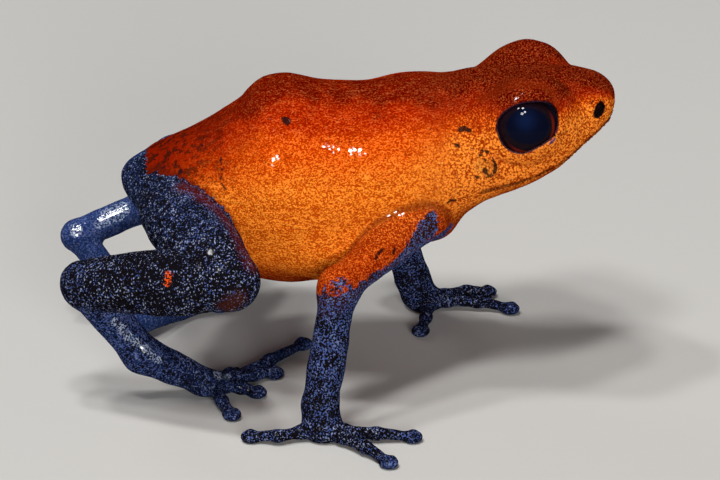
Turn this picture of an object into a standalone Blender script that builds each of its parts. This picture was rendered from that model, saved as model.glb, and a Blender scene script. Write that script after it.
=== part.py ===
# Strawberry poison dart frog, life size, standing high on its arms with its hind legs folded.
# +X is forward, +Y the frog's left, +Z up. The digits lie on the floor at z = 0.
# The body is one blended form. It is written as a distance function, meshed node by node and
# parted at the neck, shoulders, elbows, wrists, hips, knees and heels with thin gaps.
import bmesh
import bpy
import numpy as np
from mathutils import Vector

# Driving sizes, in millimetres
SNOUT_TO_VENT = 21.8      # straight length of head and torso
BOX_MIDDLE_X = 9.37       # how far forward of the vent the middle of the whole frog lies
BOX_MIDDLE_Y = -0.96       # how far left of the backbone the middle of the whole frog lies
PART_GAP = 0.3            # gap between neighbouring nodes
BLOCK_SIZE = 40.0         # edge of the blocks that cut the body at its joints
HEAD_MESH_FROM = 12.0     # the head is meshed from a little behind its parting plane
TORSO_MESH_TO = 16.0
MM = 0.001
FAR = 9.0                 # distance given to points that no form comes near
SKIN_BLEND = 0.55         # rounding where two forms of flesh run together
FOLD_BLEND = 0.30         # rounding in the fold of a bent joint

# Head and torso: one row for each cross-section, from the vent to the snout
# forward, top, widest level, bottom, half width, squareness of the upper and the lower half
BODY_SECTIONS = (
    (0.00, 9.25, 9.20, 9.15, 0.05, 2.0, 2.0),
    (0.45, 9.80, 9.10, 8.10, 1.45, 2.0, 2.0),
    (1.33, 10.30, 8.95, 7.10, 2.30, 2.0, 2.0),
    (3.47, 11.43, 8.80, 5.85, 3.40, 2.0, 2.1),
    (5.47, 12.70, 8.75, 4.87, 4.00, 2.1, 2.1),
    (6.50, 13.43, 8.80, 4.60, 4.30, 2.1, 2.1),
    (7.47, 13.70, 8.90, 4.52, 4.45, 2.0, 2.1),
    (8.60, 13.45, 8.90, 4.65, 4.52, 2.0, 2.1),
    (10.20, 13.35, 9.00, 4.85, 4.45, 2.0, 2.0),
    (12.67, 13.66, 9.60, 5.70, 4.08, 2.0, 2.0),
    (14.10, 13.75, 10.10, 6.65, 3.85, 2.0, 2.0),
    (15.20, 13.88, 10.55, 7.75, 3.75, 2.1, 2.1),
    (16.20, 14.05, 10.80, 8.60, 3.75, 2.2, 2.3),
    (17.80, 14.15, 11.10, 9.35, 3.55, 2.4, 2.6),
    (19.20, 14.15, 11.60, 10.17, 2.95, 2.5, 2.6),
    (20.25, 14.04, 12.00, 11.00, 2.35, 2.5, 2.5),
    (21.05, 13.83, 12.40, 11.58, 1.72, 2.7, 2.3),
    (21.58, 13.50, 12.68, 12.10, 1.12, 2.4, 2.1),
    (SNOUT_TO_VENT, 12.90, 12.84, 12.78, 0.05, 2.0, 2.0),
)

# Low swellings of the back, shoulders and throat: centre, radii, rounding
SWELLINGS = (
    ((6.75, 0.70, 12.45), (1.20, 0.90, 1.00), 0.6),
    ((13.00, 1.90, 12.00), (1.80, 1.20, 1.12), 0.7),
    ((9.90, 3.60, 6.90), (2.30, 1.00, 1.30), 0.8),
    ((13.85, 2.10, 8.35), (1.10, 1.30, 1.30), 0.5),
)

# Eyes: the ball, the raised brow over it and the ring of the lids
EYE_CENTRE = (17.80, 2.48, 12.50)
EYE_RADIUS = 1.52
EYE_GAP = 0.25
BROW_CENTRE = (17.98, 2.25, 13.28)
BROW_RADII = (1.68, 1.30, 1.45)
BROW_BLEND = 0.7
CHEEK_CENTRE = (17.75, 2.35, 12.15)
CHEEK_RADII = (2.15, 1.15, 1.75)
CHEEK_BLEND = 0.9
LID_PLANE_OUT = 0.64      # how far outside the ball's centre the ring of the lids lies
LID_HALF_LENGTH = 1.72
LID_HALF_HEIGHT = 1.58
LID_THICKNESS = 0.26
LID_BLEND = 0.25
LID_POINTS = 20

# Nostrils and the line of the mouth
NOSTRIL_CENTRE = (21.03, 1.66, 12.95)
NOSTRIL_RADII = (0.19, 0.34, 0.30)
MOUTH_LINE = (             # forward, half width, height, from the corner to the middle of the snout
    (15.95, 3.80, 9.79),
    (16.80, 3.76, 10.02),
    (17.80, 3.60, 10.35),
    (19.20, 3.00, 11.00),
    (20.25, 2.20, 11.62),
    (21.12, 1.35, 12.10),
    (21.58, 0.60, 12.42),
    (21.70, 0.00, 12.50),
)
MOUTH_GROOVE = 0.17

# Neck: the parting plane leans back towards the throat
NECK_POINT = (14.05, 0.0, 10.5)
NECK_NORMAL = (0.975, 0.0, 0.22)

# Limbs, as seen on their own side: forward, out from the backbone, up. Digits are laid on the floor.
LIMBS = {
    "right": {
        "side": -1,
        "shoulder": (13.20, 3.05, 8.50),
        "elbow": (9.68, 6.50, 6.55),
        "wrist": (8.83, 7.45, 1.35),
        "hand": (8.95, 7.75, 0.45),
        "fingers": (((8.0, 8.1), (7.0, 8.45), (5.85, 8.2)),
                    ((9.0, 7.0), (9.05, 6.2), (9.1, 5.3)),
                    ((9.8, 8.6), (10.8, 9.6), (11.8, 10.75)),
                    ((9.9, 8.0), (11.3, 8.25), (12.85, 8.2))),
        "hip": (1.95, 1.60, 8.78),
        "knee": (4.93, 7.05, 7.10),
        "heel": (-1.45, 4.40, 5.80),
        "ankle": (0.90, 4.00, 2.28),
        "foot": (3.90, 3.10, 0.55),
        "toes": (((4.3, 3.9), (4.5, 4.9), (4.95, 5.9)),
                 ((4.6, 3.3), (5.3, 3.5), (6.0, 3.6)),
                 ((4.8, 2.7), (5.9, 2.1), (6.75, 1.55)),
                 ((4.8, 2.5), (6.5, 0.6), (8.0, -1.6)),
                 ((4.3, 2.5), (4.75, 2.05), (5.1, 1.75))),
        "shank_radii": (1.25, 1.48, 1.38, 1.10),
        "tarsus_radii": (0.92, 0.90, 0.82, 0.77),
    },
    "left": {
        "side": 1,
        "shoulder": (13.20, 3.05, 8.50),
        "elbow": (11.60, 6.15, 5.85),
        "wrist": (13.05, 6.35, 1.35),
        "hand": (13.55, 6.30, 0.45),
        "fingers": (((13.2, 7.1), (12.9, 7.9), (12.6, 8.8)),
                    ((14.5, 6.8), (15.5, 7.2), (16.5, 7.5)),
                    ((14.6, 6.1), (16.0, 6.0), (17.5, 5.6)),
                    ((13.7, 5.3), (13.6, 4.2), (13.35, 3.1))),
        "hip": (1.95, 1.60, 8.78),
        "knee": (5.00, 7.05, 6.75),
        "heel": (-2.34, 4.52, 4.36),
        "ankle": (0.60, 3.20, 1.00),
        "foot": (2.30, 5.40, 0.55),
        "toes": (((2.2, 6.4), (2.0, 7.2), (1.9, 8.0)),
                 ((2.7, 6.4), (3.0, 7.4), (3.2, 8.4)),
                 ((3.0, 6.2), (3.7, 7.2), (4.2, 8.1)),
                 ((3.1, 5.9), (4.0, 6.7), (4.8, 7.4)),
                 ((2.9, 5.3), (3.5, 5.5), (4.1, 5.8))),
        "shank_radii": (1.22, 1.10, 0.72, 0.68),
        "tarsus_radii": (0.66, 0.64, 0.66, 0.70),
    },
}

# Girth of each limb part: radii at even steps along it
UPPER_ARM_RADII = (1.25, 1.02, 0.88, 0.84)
FOREARM_RADII = (0.82, 0.80, 0.83, 0.71)
THIGH_RADII = (1.28, 1.72, 1.62, 1.28)
INSTEP_RADII = (0.77, 0.77, 0.68, 0.52)
WRIST_RADII = (0.70, 0.62)
PALM_RADII = (0.95, 0.85, 0.48)
SOLE_RADII = (0.80, 0.72, 0.46)
DIGIT_RADIUS = 0.27
DIGIT_ARCH = 0.16          # how far a digit's middle rises
DIGIT_CROWDING = 1.5       # draws a digit's rings together towards its tip
DISC_RADII = (0.46, 0.42, 0.27)
FLOOR_SINK = 0.05          # how much of digits, palms and soles the floor flattens

# Each limb part, with the joint that it starts at and the joint that it ends at
LIMB_PARTS = (
    ("upper_arm", None, "elbow"),
    ("forearm", "elbow", "wrist"),
    ("hand", "wrist", None),
    ("thigh", None, "knee"),
    ("shank", "knee", "heel"),
    ("tarsus", "heel", "ankle"),
    ("foot", "ankle", None),
)

# Mesh fineness, and the triangles that each form has before it is cut
CELL_COARSE = 0.31
CELL_HEAD = 0.22
DIGIT_RINGS = 11
DIGIT_SIDES = 7
SETTLE_ROUNDS = 2         # times that the vertices are evened out
SURFACE_ROUNDS = 6        # times that a point is drawn towards the skin
SLOPE_STEP = 0.01         # step for measuring the slope of a form
SLOPE_LEAST = 0.25        # the slope counts as at least this when a point is drawn on
MOVE_MOST = 0.2           # furthest that a point moves in one round
SOCKET_SEGMENTS = 24
EYE_SEGMENTS = 20
NOSTRIL_SEGMENTS = 10
TRIANGLES = {"head": 2900, "torso": 2100, "clearance": 1400, "upper_arm": 620, "forearm": 860, "hand": 520,
             "thigh": 800, "shank": 960, "tarsus": 1000, "foot": 640}

ORANGE = (0.80, 0.17, 0.012)
BLUE_BLACK = (0.022, 0.030, 0.085)
EYE_BLACK = (0.006, 0.005, 0.008)


def clear_scene():
    for old in list(bpy.data.objects):
        bpy.data.objects.remove(old, do_unlink=True)


def smooth_steps(where, stations, values):
    """Cubic through the stations that never swings past them."""
    widths = np.diff(stations)
    rises = np.diff(values) / widths
    slopes = np.zeros(len(values))
    level = rises[:-1] * rises[1:] > 0
    total = rises[:-1] + rises[1:]
    slopes[1:-1][level] = 2 * rises[:-1][level] * rises[1:][level] / total[level]
    slopes[0] = rises[0]
    slopes[-1] = rises[-1]
    index = np.clip(np.searchsorted(stations, where) - 1, 0, len(widths) - 1)
    t = np.clip((where - stations[index]) / widths[index], 0, 1)
    width = widths[index]
    rise = values[index + 1] - values[index]
    bend = 3 * rise - width * (2 * slopes[index] + slopes[index + 1])
    twist = width * (slopes[index] + slopes[index + 1]) - 2 * rise
    return values[index] + t * (width * slopes[index] + t * (bend + t * twist))


def smooth_union(first, second, blend):
    overlap = np.maximum(blend - np.abs(first - second), 0) / blend
    return np.minimum(first, second) - overlap * overlap * blend / 4


def body_distance(points):
    """Head and torso as a loft of ovals. Squares are interpolated, so both ends close round."""
    rows = np.array(BODY_SECTIONS)
    stations = rows[:, 0]
    along = np.clip(points[:, 0], stations[0], stations[-1])
    level = smooth_steps(along, stations, rows[:, 2])
    over = np.sqrt(smooth_steps(along, stations, (rows[:, 1] - rows[:, 2]) ** 2))
    under = np.sqrt(smooth_steps(along, stations, (rows[:, 2] - rows[:, 3]) ** 2))
    half = np.sqrt(smooth_steps(along, stations, rows[:, 4] ** 2))
    above = points[:, 2] > level
    height = np.where(above, over, under)
    power = np.where(above, smooth_steps(along, stations, rows[:, 5]),
                     smooth_steps(along, stations, rows[:, 6]))
    rise = points[:, 2] - level
    side = points[:, 1]
    ratio = (np.abs(side / half) ** power + np.abs(rise / height) ** power) ** (1 / power)
    ratio = np.maximum(ratio, 1e-6)
    reach = np.hypot(side, rise)
    across = reach * (1 - 1 / ratio)
    past_end = np.abs(points[:, 0] - along)
    return np.where(past_end > 0, np.hypot(np.maximum(across, 0), past_end), across)


def ellipsoid_distance(points, centre, radii, turn=None):
    offset = points - np.array(centre)
    if turn is not None:
        offset = offset @ turn
    scaled = offset / np.array(radii)
    near = np.linalg.norm(scaled, axis=1)
    steep = np.linalg.norm(scaled / np.array(radii), axis=1)
    return near * (near - 1) / np.maximum(steep, 1e-6)


def tube_distance(points, path, radii):
    """Round tube of changing girth along a path of points."""
    distance = np.full(len(points), FAR)
    for start, end, first, last in zip(path[:-1], path[1:], radii[:-1], radii[1:]):
        line = end - start
        t = np.clip((points - start) @ line / (line @ line), 0, 1)
        gap = np.linalg.norm(points - start - t[:, None] * line, axis=1)
        distance = np.minimum(distance, gap - first - t * (last - first))
    return distance


def curve_at(knots, at):
    """Points of a smooth path through knots, where the n-th knot lies at n."""
    knots = np.array(knots, float)
    stations = np.arange(len(knots), dtype=float)
    return np.column_stack([smooth_steps(at, stations, knots[:, i]) for i in range(knots.shape[1])])


def curve_through(knots, steps):
    """Smooth path with even steps between its knots."""
    return curve_at(knots, np.linspace(0, len(knots) - 1, steps * (len(knots) - 1) + 1))


class Form:
    """Rounded pieces that run together, each known only within its own box."""

    def __init__(self):
        self.pieces = []

    def add(self, distance, low, high, blend):
        reach = blend + 2 * CELL_COARSE
        self.pieces.append((distance, np.array(low) - reach, np.array(high) + reach, blend))

    def add_tube(self, knots, radii, blend, steps=5):
        girth = curve_through(np.array(radii)[:, None], 6)[:, 0]
        path = curve_through(knots, steps)
        radii = np.interp(np.linspace(0, 1, len(path)), np.linspace(0, 1, len(girth)), girth)
        fat = radii.max()
        self.add(lambda points: tube_distance(points, path, radii),
                 path.min(axis=0) - fat, path.max(axis=0) + fat, blend)

    def add_ellipsoid(self, centre, radii, blend, turn=None):
        fat = max(radii)
        self.add(lambda points: ellipsoid_distance(points, centre, radii, turn),
                 np.array(centre) - fat, np.array(centre) + fat, blend)

    def distance(self, points):
        value = np.full(len(points), FAR)
        for piece, low, high, blend in self.pieces:
            near = np.all((points > low) & (points < high), axis=1)
            if near.any():
                value[near] = smooth_union(value[near], piece(points[near]), blend)
        return value

    def box(self):
        lows = np.array([piece[1] for piece in self.pieces])
        highs = np.array([piece[2] for piece in self.pieces])
        return lows.min(axis=0), highs.max(axis=0)


def mirrored(point, side):
    return np.array((point[0], point[1] * side, point[2]))


def lid_ring(side):
    """Points round the opening of the eye, on the ball's outer side."""
    around = np.linspace(0, 2 * np.pi, LID_POINTS + 1)
    centre = mirrored(EYE_CENTRE, side)
    out = np.full(len(around), side * LID_PLANE_OUT)
    ring = np.column_stack([LID_HALF_LENGTH * np.cos(around), out, LID_HALF_HEIGHT * np.sin(around)])
    return centre + ring


def trunk_form():
    """Head and torso with brows, cheeks and lids."""
    rows = np.array(BODY_SECTIONS)
    form = Form()
    form.add(body_distance, (rows[0, 0], -rows[:, 4].max(), rows[:, 3].min()),
             (rows[-1, 0], rows[:, 4].max(), rows[:, 1].max()), SKIN_BLEND)
    for side in (-1, 1):
        form.add_ellipsoid(mirrored(CHEEK_CENTRE, side), CHEEK_RADII, CHEEK_BLEND)
        form.add_ellipsoid(mirrored(BROW_CENTRE, side), BROW_RADII, BROW_BLEND)
        for centre, radii, blend in SWELLINGS:
            form.add_ellipsoid(mirrored(centre, side), radii, blend)
        ring = lid_ring(side)
        girth = np.full(len(ring), LID_THICKNESS)
        form.add(lambda points, ring=ring, girth=girth: tube_distance(points, ring, girth),
                 ring.min(axis=0) - LID_THICKNESS, ring.max(axis=0) + LID_THICKNESS, LID_BLEND)
    return form


def mouth_path():
    right = [(x, -half, z) for x, half, z in MOUTH_LINE]
    left = [(x, half, z) for x, half, z in reversed(MOUTH_LINE[:-1])]
    return curve_through(right + left, 2)


def limb_joints(limb):
    return {key: mirrored(limb[key], limb["side"]) for key in
            ("shoulder", "elbow", "wrist", "hand", "hip", "knee", "heel", "ankle", "foot")}


def limb_part_form(kind, limb):
    """One part of a limb with a little of its neighbours, so that joints stay full."""
    joints = limb_joints(limb)
    form = Form()
    if kind in ("upper_arm", "forearm"):
        form.add_tube([joints["shoulder"], joints["elbow"]], UPPER_ARM_RADII, SKIN_BLEND)
    if kind in ("upper_arm", "forearm", "hand"):
        form.add_tube([joints["elbow"], joints["wrist"]], FOREARM_RADII, SKIN_BLEND)
    if kind in ("forearm", "hand"):
        add_palm(form, joints["wrist"], joints["hand"], WRIST_RADII, PALM_RADII)
    if kind in ("thigh", "shank"):
        form.add_tube([joints["hip"], joints["knee"]], THIGH_RADII, SKIN_BLEND)
    if kind in ("thigh", "shank", "tarsus"):
        form.add_tube([joints["knee"], joints["heel"]], limb["shank_radii"], FOLD_BLEND)
    if kind in ("shank", "tarsus", "foot"):
        form.add_tube([joints["heel"], joints["ankle"]], limb["tarsus_radii"], FOLD_BLEND)
    if kind in ("tarsus", "foot"):
        add_palm(form, joints["ankle"], joints["foot"], INSTEP_RADII, SOLE_RADII)
    return form


def flat_turn(way):
    """Turns a form that points forward so that it points along a level direction."""
    angle = np.arctan2(way[1], way[0])
    return np.array(((np.cos(angle), -np.sin(angle), 0), (np.sin(angle), np.cos(angle), 0), (0, 0, 1)))


def palm_middle(palm, palm_radii):
    return np.array((palm[0], palm[1], palm_radii[2] - FLOOR_SINK))


def add_palm(form, root, palm, root_radii, palm_radii):
    middle = palm_middle(palm, palm_radii)
    form.add_tube([root, middle], root_radii, SKIN_BLEND)
    form.add_ellipsoid(middle, palm_radii, SKIN_BLEND, flat_turn(middle - root))


def sweep(path, half_widths, half_heights, sides):
    """Closed tube of oval rings along a nearly level path, with a point at each end."""
    ways = np.gradient(path, axis=0)
    ways /= np.linalg.norm(ways, axis=1)[:, None]
    across = np.column_stack([-ways[:, 1], ways[:, 0], np.zeros(len(path))])
    across /= np.linalg.norm(across, axis=1)[:, None]
    up = np.cross(ways, across)
    around = 2 * np.pi * np.arange(sides) / sides
    rings = (path[:, None] + across[:, None] * (half_widths[:, None] * np.cos(around))[..., None]
             + up[:, None] * (half_heights[:, None] * np.sin(around))[..., None])
    vertices = np.concatenate([rings.reshape(-1, 3), path[[0]], path[[-1]]])
    faces = []
    for ring in range(len(path) - 1):
        for side in range(sides):
            beside = (side + 1) % sides
            faces.append((ring * sides + side, ring * sides + beside,
                          (ring + 1) * sides + beside, (ring + 1) * sides + side))
    first_tip = len(path) * sides
    last_ring = (len(path) - 1) * sides
    for side in range(sides):
        beside = (side + 1) % sides
        faces.append((beside, side, first_tip))
        faces.append((last_ring + side, last_ring + beside, first_tip + 1))
    return vertices, faces


def digit_object(name, middle, digit, side, collection):
    """One finger or toe, arched over its middle joint and widened to a disc at its tip."""
    height = DIGIT_RADIUS - FLOOR_SINK
    spots = [mirrored((x, y, height), side) for x, y in digit]
    arch = np.array((0, 0, DIGIT_ARCH))
    way = (spots[2] - spots[1]) / np.linalg.norm(spots[2] - spots[1])
    knots = [middle, spots[0] + arch, spots[1] + arch, spots[2] + way * DISC_RADII[0]]
    closer_to_tip = np.linspace(1, 0, DIGIT_RINGS) ** DIGIT_CROWDING
    path = curve_at(knots, 3 - 3 * closer_to_tip)
    steps = np.linalg.norm(np.diff(path, axis=0), axis=1)
    left = steps.sum() - np.concatenate([[0], np.cumsum(steps)])
    disc = np.clip(1 - ((left - DISC_RADII[0]) / DISC_RADII[0]) ** 2, 0, 1) ** 0.5
    shaft = DIGIT_RADIUS * np.interp(left / left[0], (0, 0.2, 1), (0.5, 0.92, 1.25))
    end = np.sqrt(np.clip(left / DISC_RADII[2], 0.02, 1))
    half_widths = np.maximum(shaft * end, DISC_RADII[1] * disc)
    half_heights = np.maximum(shaft * end, DISC_RADII[2] * disc)
    vertices, faces = sweep(path, half_widths, half_heights, DIGIT_SIDES)
    return add_object(name, vertices, faces, None, collection)


def join_digits(thing, middle, digits, side):
    """Fuses the digits with the palm or sole in one union, and keeps the largest closed surface."""
    group = bpy.data.collections.new(f"digits_of_{thing.name}")
    bpy.context.scene.collection.children.link(group)
    for number, digit in enumerate(digits):
        digit_object(f"{thing.name}_digit_{number}", middle, digit, side, group)
    union = thing.modifiers.new("digits", "BOOLEAN")
    union.operation = "UNION"
    union.operand_type = "COLLECTION"
    union.collection = group
    apply_modifiers(thing)
    for digit in list(group.objects):
        bpy.data.objects.remove(digit, do_unlink=True)
    bpy.data.collections.remove(group)
    keep_largest(thing)


def apply_modifiers(thing):
    bpy.context.view_layer.update()
    graph = bpy.context.evaluated_depsgraph_get()
    mesh = bpy.data.meshes.new_from_object(thing.evaluated_get(graph))
    thing.modifiers.clear()
    thing.data = mesh


def keep_largest(thing):
    """Leaves only the largest connected surface of an object's mesh."""
    body = bmesh.new()
    body.from_mesh(thing.data)
    unseen = set(body.faces)
    pieces = []
    while unseen:
        piece = {unseen.pop()}
        edge = list(piece)
        while edge:
            near = {face for last in edge for link in last.edges for face in link.link_faces} - piece
            piece |= near
            edge = list(near)
        unseen -= piece
        pieces.append(piece)
    pieces.sort(key=len)
    for piece in pieces[:-1]:
        bmesh.ops.delete(body, geom=list(piece), context="FACES")
    body.to_mesh(thing.data)
    body.free()


def mitre_normal(before, joint, after):
    """Direction along a limb at a joint, halfway between its two parts."""
    arriving = (joint - before) / np.linalg.norm(joint - before)
    leaving = (after - joint) / np.linalg.norm(after - joint)
    return arriving + leaving


def mesh_surface(distance, low, high, cell):
    """Vertices and quads where the distance is nought, one vertex in each crossed cell."""
    counts = np.ceil((np.array(high) - low) / cell).astype(int) + 1
    axes = [low[i] + cell * np.arange(counts[i]) for i in range(3)]
    nodes = np.stack(np.meshgrid(*axes, indexing="ij"), axis=-1).reshape(-1, 3)
    values = distance(nodes).reshape(counts)
    cells = counts - 1
    total = np.zeros((*cells, 3))
    crossed = np.zeros(cells)
    for axis in range(3):
        others = [i for i in range(3) if i != axis]
        for first in (0, 1):
            for second in (0, 1):
                shift = [0, 0, 0]
                shift[others[0]] = first
                shift[others[1]] = second
                near = values[tuple(slice(s, s + n) for s, n in zip(shift, cells))]
                shift[axis] = 1
                far = values[tuple(slice(s, s + n) for s, n in zip(shift, cells))]
                change = (near < 0) != (far < 0)
                spot = np.array(shift, float)
                for i in range(3):
                    total[..., i][change] += spot[i]
                share = near[change] / (near[change] - far[change])
                total[..., axis][change] += share - 1
                crossed[change] += 1
    active = crossed > 0
    number = np.full(cells, -1)
    number[active] = np.arange(active.sum())
    corners = np.argwhere(active) + total[active] / crossed[active][:, None]
    vertices = np.array(low) + cell * corners
    faces = []
    for axis in range(3):
        one, two = [(1, 2), (2, 0), (0, 1)][axis]
        near = values[tuple(slice(1, -1) if i != axis else slice(0, -1) for i in range(3))]
        far = values[tuple(slice(1, -1) if i != axis else slice(1, None) for i in range(3))]
        change = np.argwhere((near < 0) != (far < 0))
        outward = (near < 0)[tuple(change.T)]
        base = change + 1
        base[:, axis] -= 1
        step_one = np.eye(3, dtype=int)[one]
        step_two = np.eye(3, dtype=int)[two]
        ring = [base - step_one - step_two, base - step_two, base, base - step_one]
        quads = np.column_stack([number[tuple(spot.T)] for spot in ring])
        quads[~outward] = quads[~outward][:, ::-1]
        faces.append(quads)
    return vertices, np.concatenate(faces)


def settle(vertices, faces, distance):
    """Evens out the vertices and draws them on to the surface."""
    for _ in range(SETTLE_ROUNDS):
        total = np.zeros_like(vertices)
        count = np.zeros(len(vertices))
        for i in range(4):
            np.add.at(total, faces[:, i], vertices[faces[:, (i + 1) % 4]])
            np.add.at(total, faces[:, i], vertices[faces[:, i - 1]])
            np.add.at(count, faces[:, i], 2)
        vertices = 0.5 * vertices + 0.5 * total / count[:, None]
        vertices = draw_on(vertices, distance, SURFACE_ROUNDS // 2)
    return vertices


def draw_on(vertices, distance, rounds):
    steps = SLOPE_STEP * np.eye(3)
    for _ in range(rounds):
        value = distance(vertices)
        slope = np.column_stack([distance(vertices + step) - value for step in steps]) / SLOPE_STEP
        size = np.maximum((slope ** 2).sum(axis=1), SLOPE_LEAST)
        move = np.clip(value / size, -MOVE_MOST, MOVE_MOST)
        vertices = vertices - move[:, None] * slope
    return vertices


def largest_surface(vertices, faces):
    """Keeps the one connected surface with the most faces."""
    label = np.arange(len(vertices))
    while True:
        lowest = label[faces].min(axis=1)
        fresh = label.copy()
        for i in range(4):
            np.minimum.at(fresh, faces[:, i], lowest)
        fresh = fresh[fresh]
        if np.array_equal(fresh, label):
            break
        label = fresh
    owners, counts = np.unique(label[faces[:, 0]], return_counts=True)
    keep = label[faces[:, 0]] == owners[counts.argmax()]
    used, renumbered = np.unique(faces[keep], return_inverse=True)
    return vertices[used], renumbered.reshape(-1, 4)


def make_material(name, colour, roughness, coat):
    material = bpy.data.materials.new(name)
    material.use_nodes = True
    shader = material.node_tree.nodes["Principled BSDF"]
    shader.inputs["Base Color"].default_value = (*colour, 1)
    shader.inputs["Roughness"].default_value = roughness
    shader.inputs["Metallic"].default_value = 0
    shader.inputs["Coat Weight"].default_value = coat
    return material


def to_world(points):
    return (np.array(points) - (BOX_MIDDLE_X, BOX_MIDDLE_Y, 0)) * MM


def add_object(name, vertices, faces, material, collection):
    mesh = bpy.data.meshes.new(name)
    mesh.from_pydata(to_world(vertices).tolist(), [], [[int(i) for i in face] for face in faces])
    mesh.shade_smooth()
    if material:
        mesh.materials.append(material)
    thing = bpy.data.objects.new(name, mesh)
    collection.objects.link(thing)
    return thing


def flesh_object(name, kind, form, low, high, cell, material, collection):
    vertices, faces = mesh_surface(form.distance, np.array(low), np.array(high), cell)
    vertices, faces = largest_surface(vertices, faces)
    vertices = settle(vertices, faces, form.distance)
    thing = add_object(name, vertices, faces, material, collection)
    keep_faces(thing, TRIANGLES[kind])
    return thing


def keep_faces(thing, triangles):
    thin = thing.modifiers.new("fewer faces", "DECIMATE")
    thin.ratio = min(1.0, triangles / (2 * len(thing.data.polygons)))
    thin.use_collapse_triangulate = True


def move_to(thing, collection):
    for owner in list(thing.users_collection):
        owner.objects.unlink(thing)
    collection.objects.link(thing)


def make_cutter(cutter, cutters):
    cutter.hide_render = True
    cutter.display_type = "WIRE"
    move_to(cutter, cutters)
    return cutter


def cut(thing, cutter):
    away = thing.modifiers.new(f"less {cutter.name}", "BOOLEAN")
    away.operation = "DIFFERENCE"
    away.object = cutter
    return away


def half_space(name, through, normal, cutters):
    """A block that fills everything beyond a plane, near the frog."""
    normal = Vector(normal).normalized()
    bpy.ops.mesh.primitive_cube_add(size=BLOCK_SIZE * MM)
    block = bpy.context.object
    block.name = name
    block.rotation_mode = "QUATERNION"
    block.rotation_quaternion = normal.to_track_quat("Z", "Y")
    block.location = Vector(to_world(through)) + normal * BLOCK_SIZE * MM / 2
    return make_cutter(block, cutters)


def ball_object(name, centre, radii, segments):
    bpy.ops.mesh.primitive_uv_sphere_add(segments=segments, ring_count=segments // 2, radius=MM)
    ball = bpy.context.object
    ball.name = name
    ball.data.name = name
    ball.scale = radii
    ball.location = to_world(centre).tolist()
    ball.data.shade_smooth()
    return ball


def mouth_cutter(trunk, cutters):
    """A tube along the line of the mouth, half sunk in the lips."""
    path = draw_on(mouth_path(), trunk.distance, SURFACE_ROUNDS)
    curve = bpy.data.curves.new("mouth_line", "CURVE")
    curve.dimensions = "3D"
    curve.bevel_depth = MOUTH_GROOVE * MM
    curve.bevel_resolution = 1
    curve.use_fill_caps = True
    line = curve.splines.new("POLY")
    line.points.add(len(path) - 1)
    for point, place in zip(line.points, to_world(path)):
        point.co = (*place, 1)
    thread = bpy.data.objects.new("mouth_line", curve)
    bpy.context.scene.collection.objects.link(thread)
    bpy.context.view_layer.update()
    graph = bpy.context.evaluated_depsgraph_get()
    mesh = bpy.data.meshes.new_from_object(thread.evaluated_get(graph))
    body = bmesh.new()
    body.from_mesh(mesh)
    bmesh.ops.remove_doubles(body, verts=body.verts, dist=MM * 0.001)
    body.to_mesh(mesh)
    body.free()
    tube = bpy.data.objects.new("mouth_tube", mesh)
    bpy.context.scene.collection.objects.link(tube)
    bpy.data.objects.remove(thread, do_unlink=True)
    return make_cutter(tube, cutters)


def build_trunk(collection, cutters):
    trunk = trunk_form()
    low, high = trunk.box()
    normal = np.array(NECK_NORMAL) / np.linalg.norm(NECK_NORMAL)
    half_gap = normal * PART_GAP / 2
    skin = make_material("head_skin", ORANGE, 0.35, 0.5)
    head_low = (HEAD_MESH_FROM, low[1], low[2])
    head = flesh_object("head", "head", trunk, head_low, high, CELL_HEAD, skin, collection)
    cut(head, half_space("behind_neck", NECK_POINT + half_gap, -normal, cutters))
    cut(head, mouth_cutter(trunk, cutters))
    for side_name, side in (("right", -1), ("left", 1)):
        socket = (EYE_RADIUS + EYE_GAP,) * 3
        hollow = ball_object(f"socket_{side_name}", mirrored(EYE_CENTRE, side), socket, SOCKET_SEGMENTS)
        cut(head, make_cutter(hollow, cutters))
        nostril = draw_on(mirrored(NOSTRIL_CENTRE, side)[None, :], trunk.distance, SURFACE_ROUNDS)[0]
        hole = ball_object(f"nostril_{side_name}", nostril, NOSTRIL_RADII, NOSTRIL_SEGMENTS)
        cut(head, make_cutter(hole, cutters))
        ball = ball_object(f"eye_{side_name}", mirrored(EYE_CENTRE, side), (EYE_RADIUS,) * 3, EYE_SEGMENTS)
        ball.data.materials.append(make_material(f"eye_{side_name}", EYE_BLACK, 0.08, 1.0))
        move_to(ball, collection)
    skin = make_material("torso_skin", ORANGE, 0.35, 0.5)
    torso_high = (TORSO_MESH_TO, high[1], high[2])
    torso = flesh_object("torso", "torso", trunk, low, torso_high, CELL_COARSE, skin, collection)
    cut(torso, half_space("before_neck", NECK_POINT - half_gap, normal, cutters))
    for thing in (head, torso):
        apply_modifiers(thing)
        keep_largest(thing)
    return trunk


def trunk_clearance(trunk, cutters):
    """The trunk swollen by the gap, which the limbs' roots are cut back to."""
    low, high = trunk.box()

    def swollen(points):
        return trunk.distance(points) - PART_GAP

    vertices, faces = mesh_surface(swollen, low - PART_GAP, high + PART_GAP, CELL_COARSE)
    vertices = settle(vertices, faces, swollen)
    clearance = make_cutter(add_object("trunk_clearance", vertices, faces, None, cutters), cutters)
    keep_faces(clearance, TRIANGLES["clearance"])
    return clearance


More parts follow.
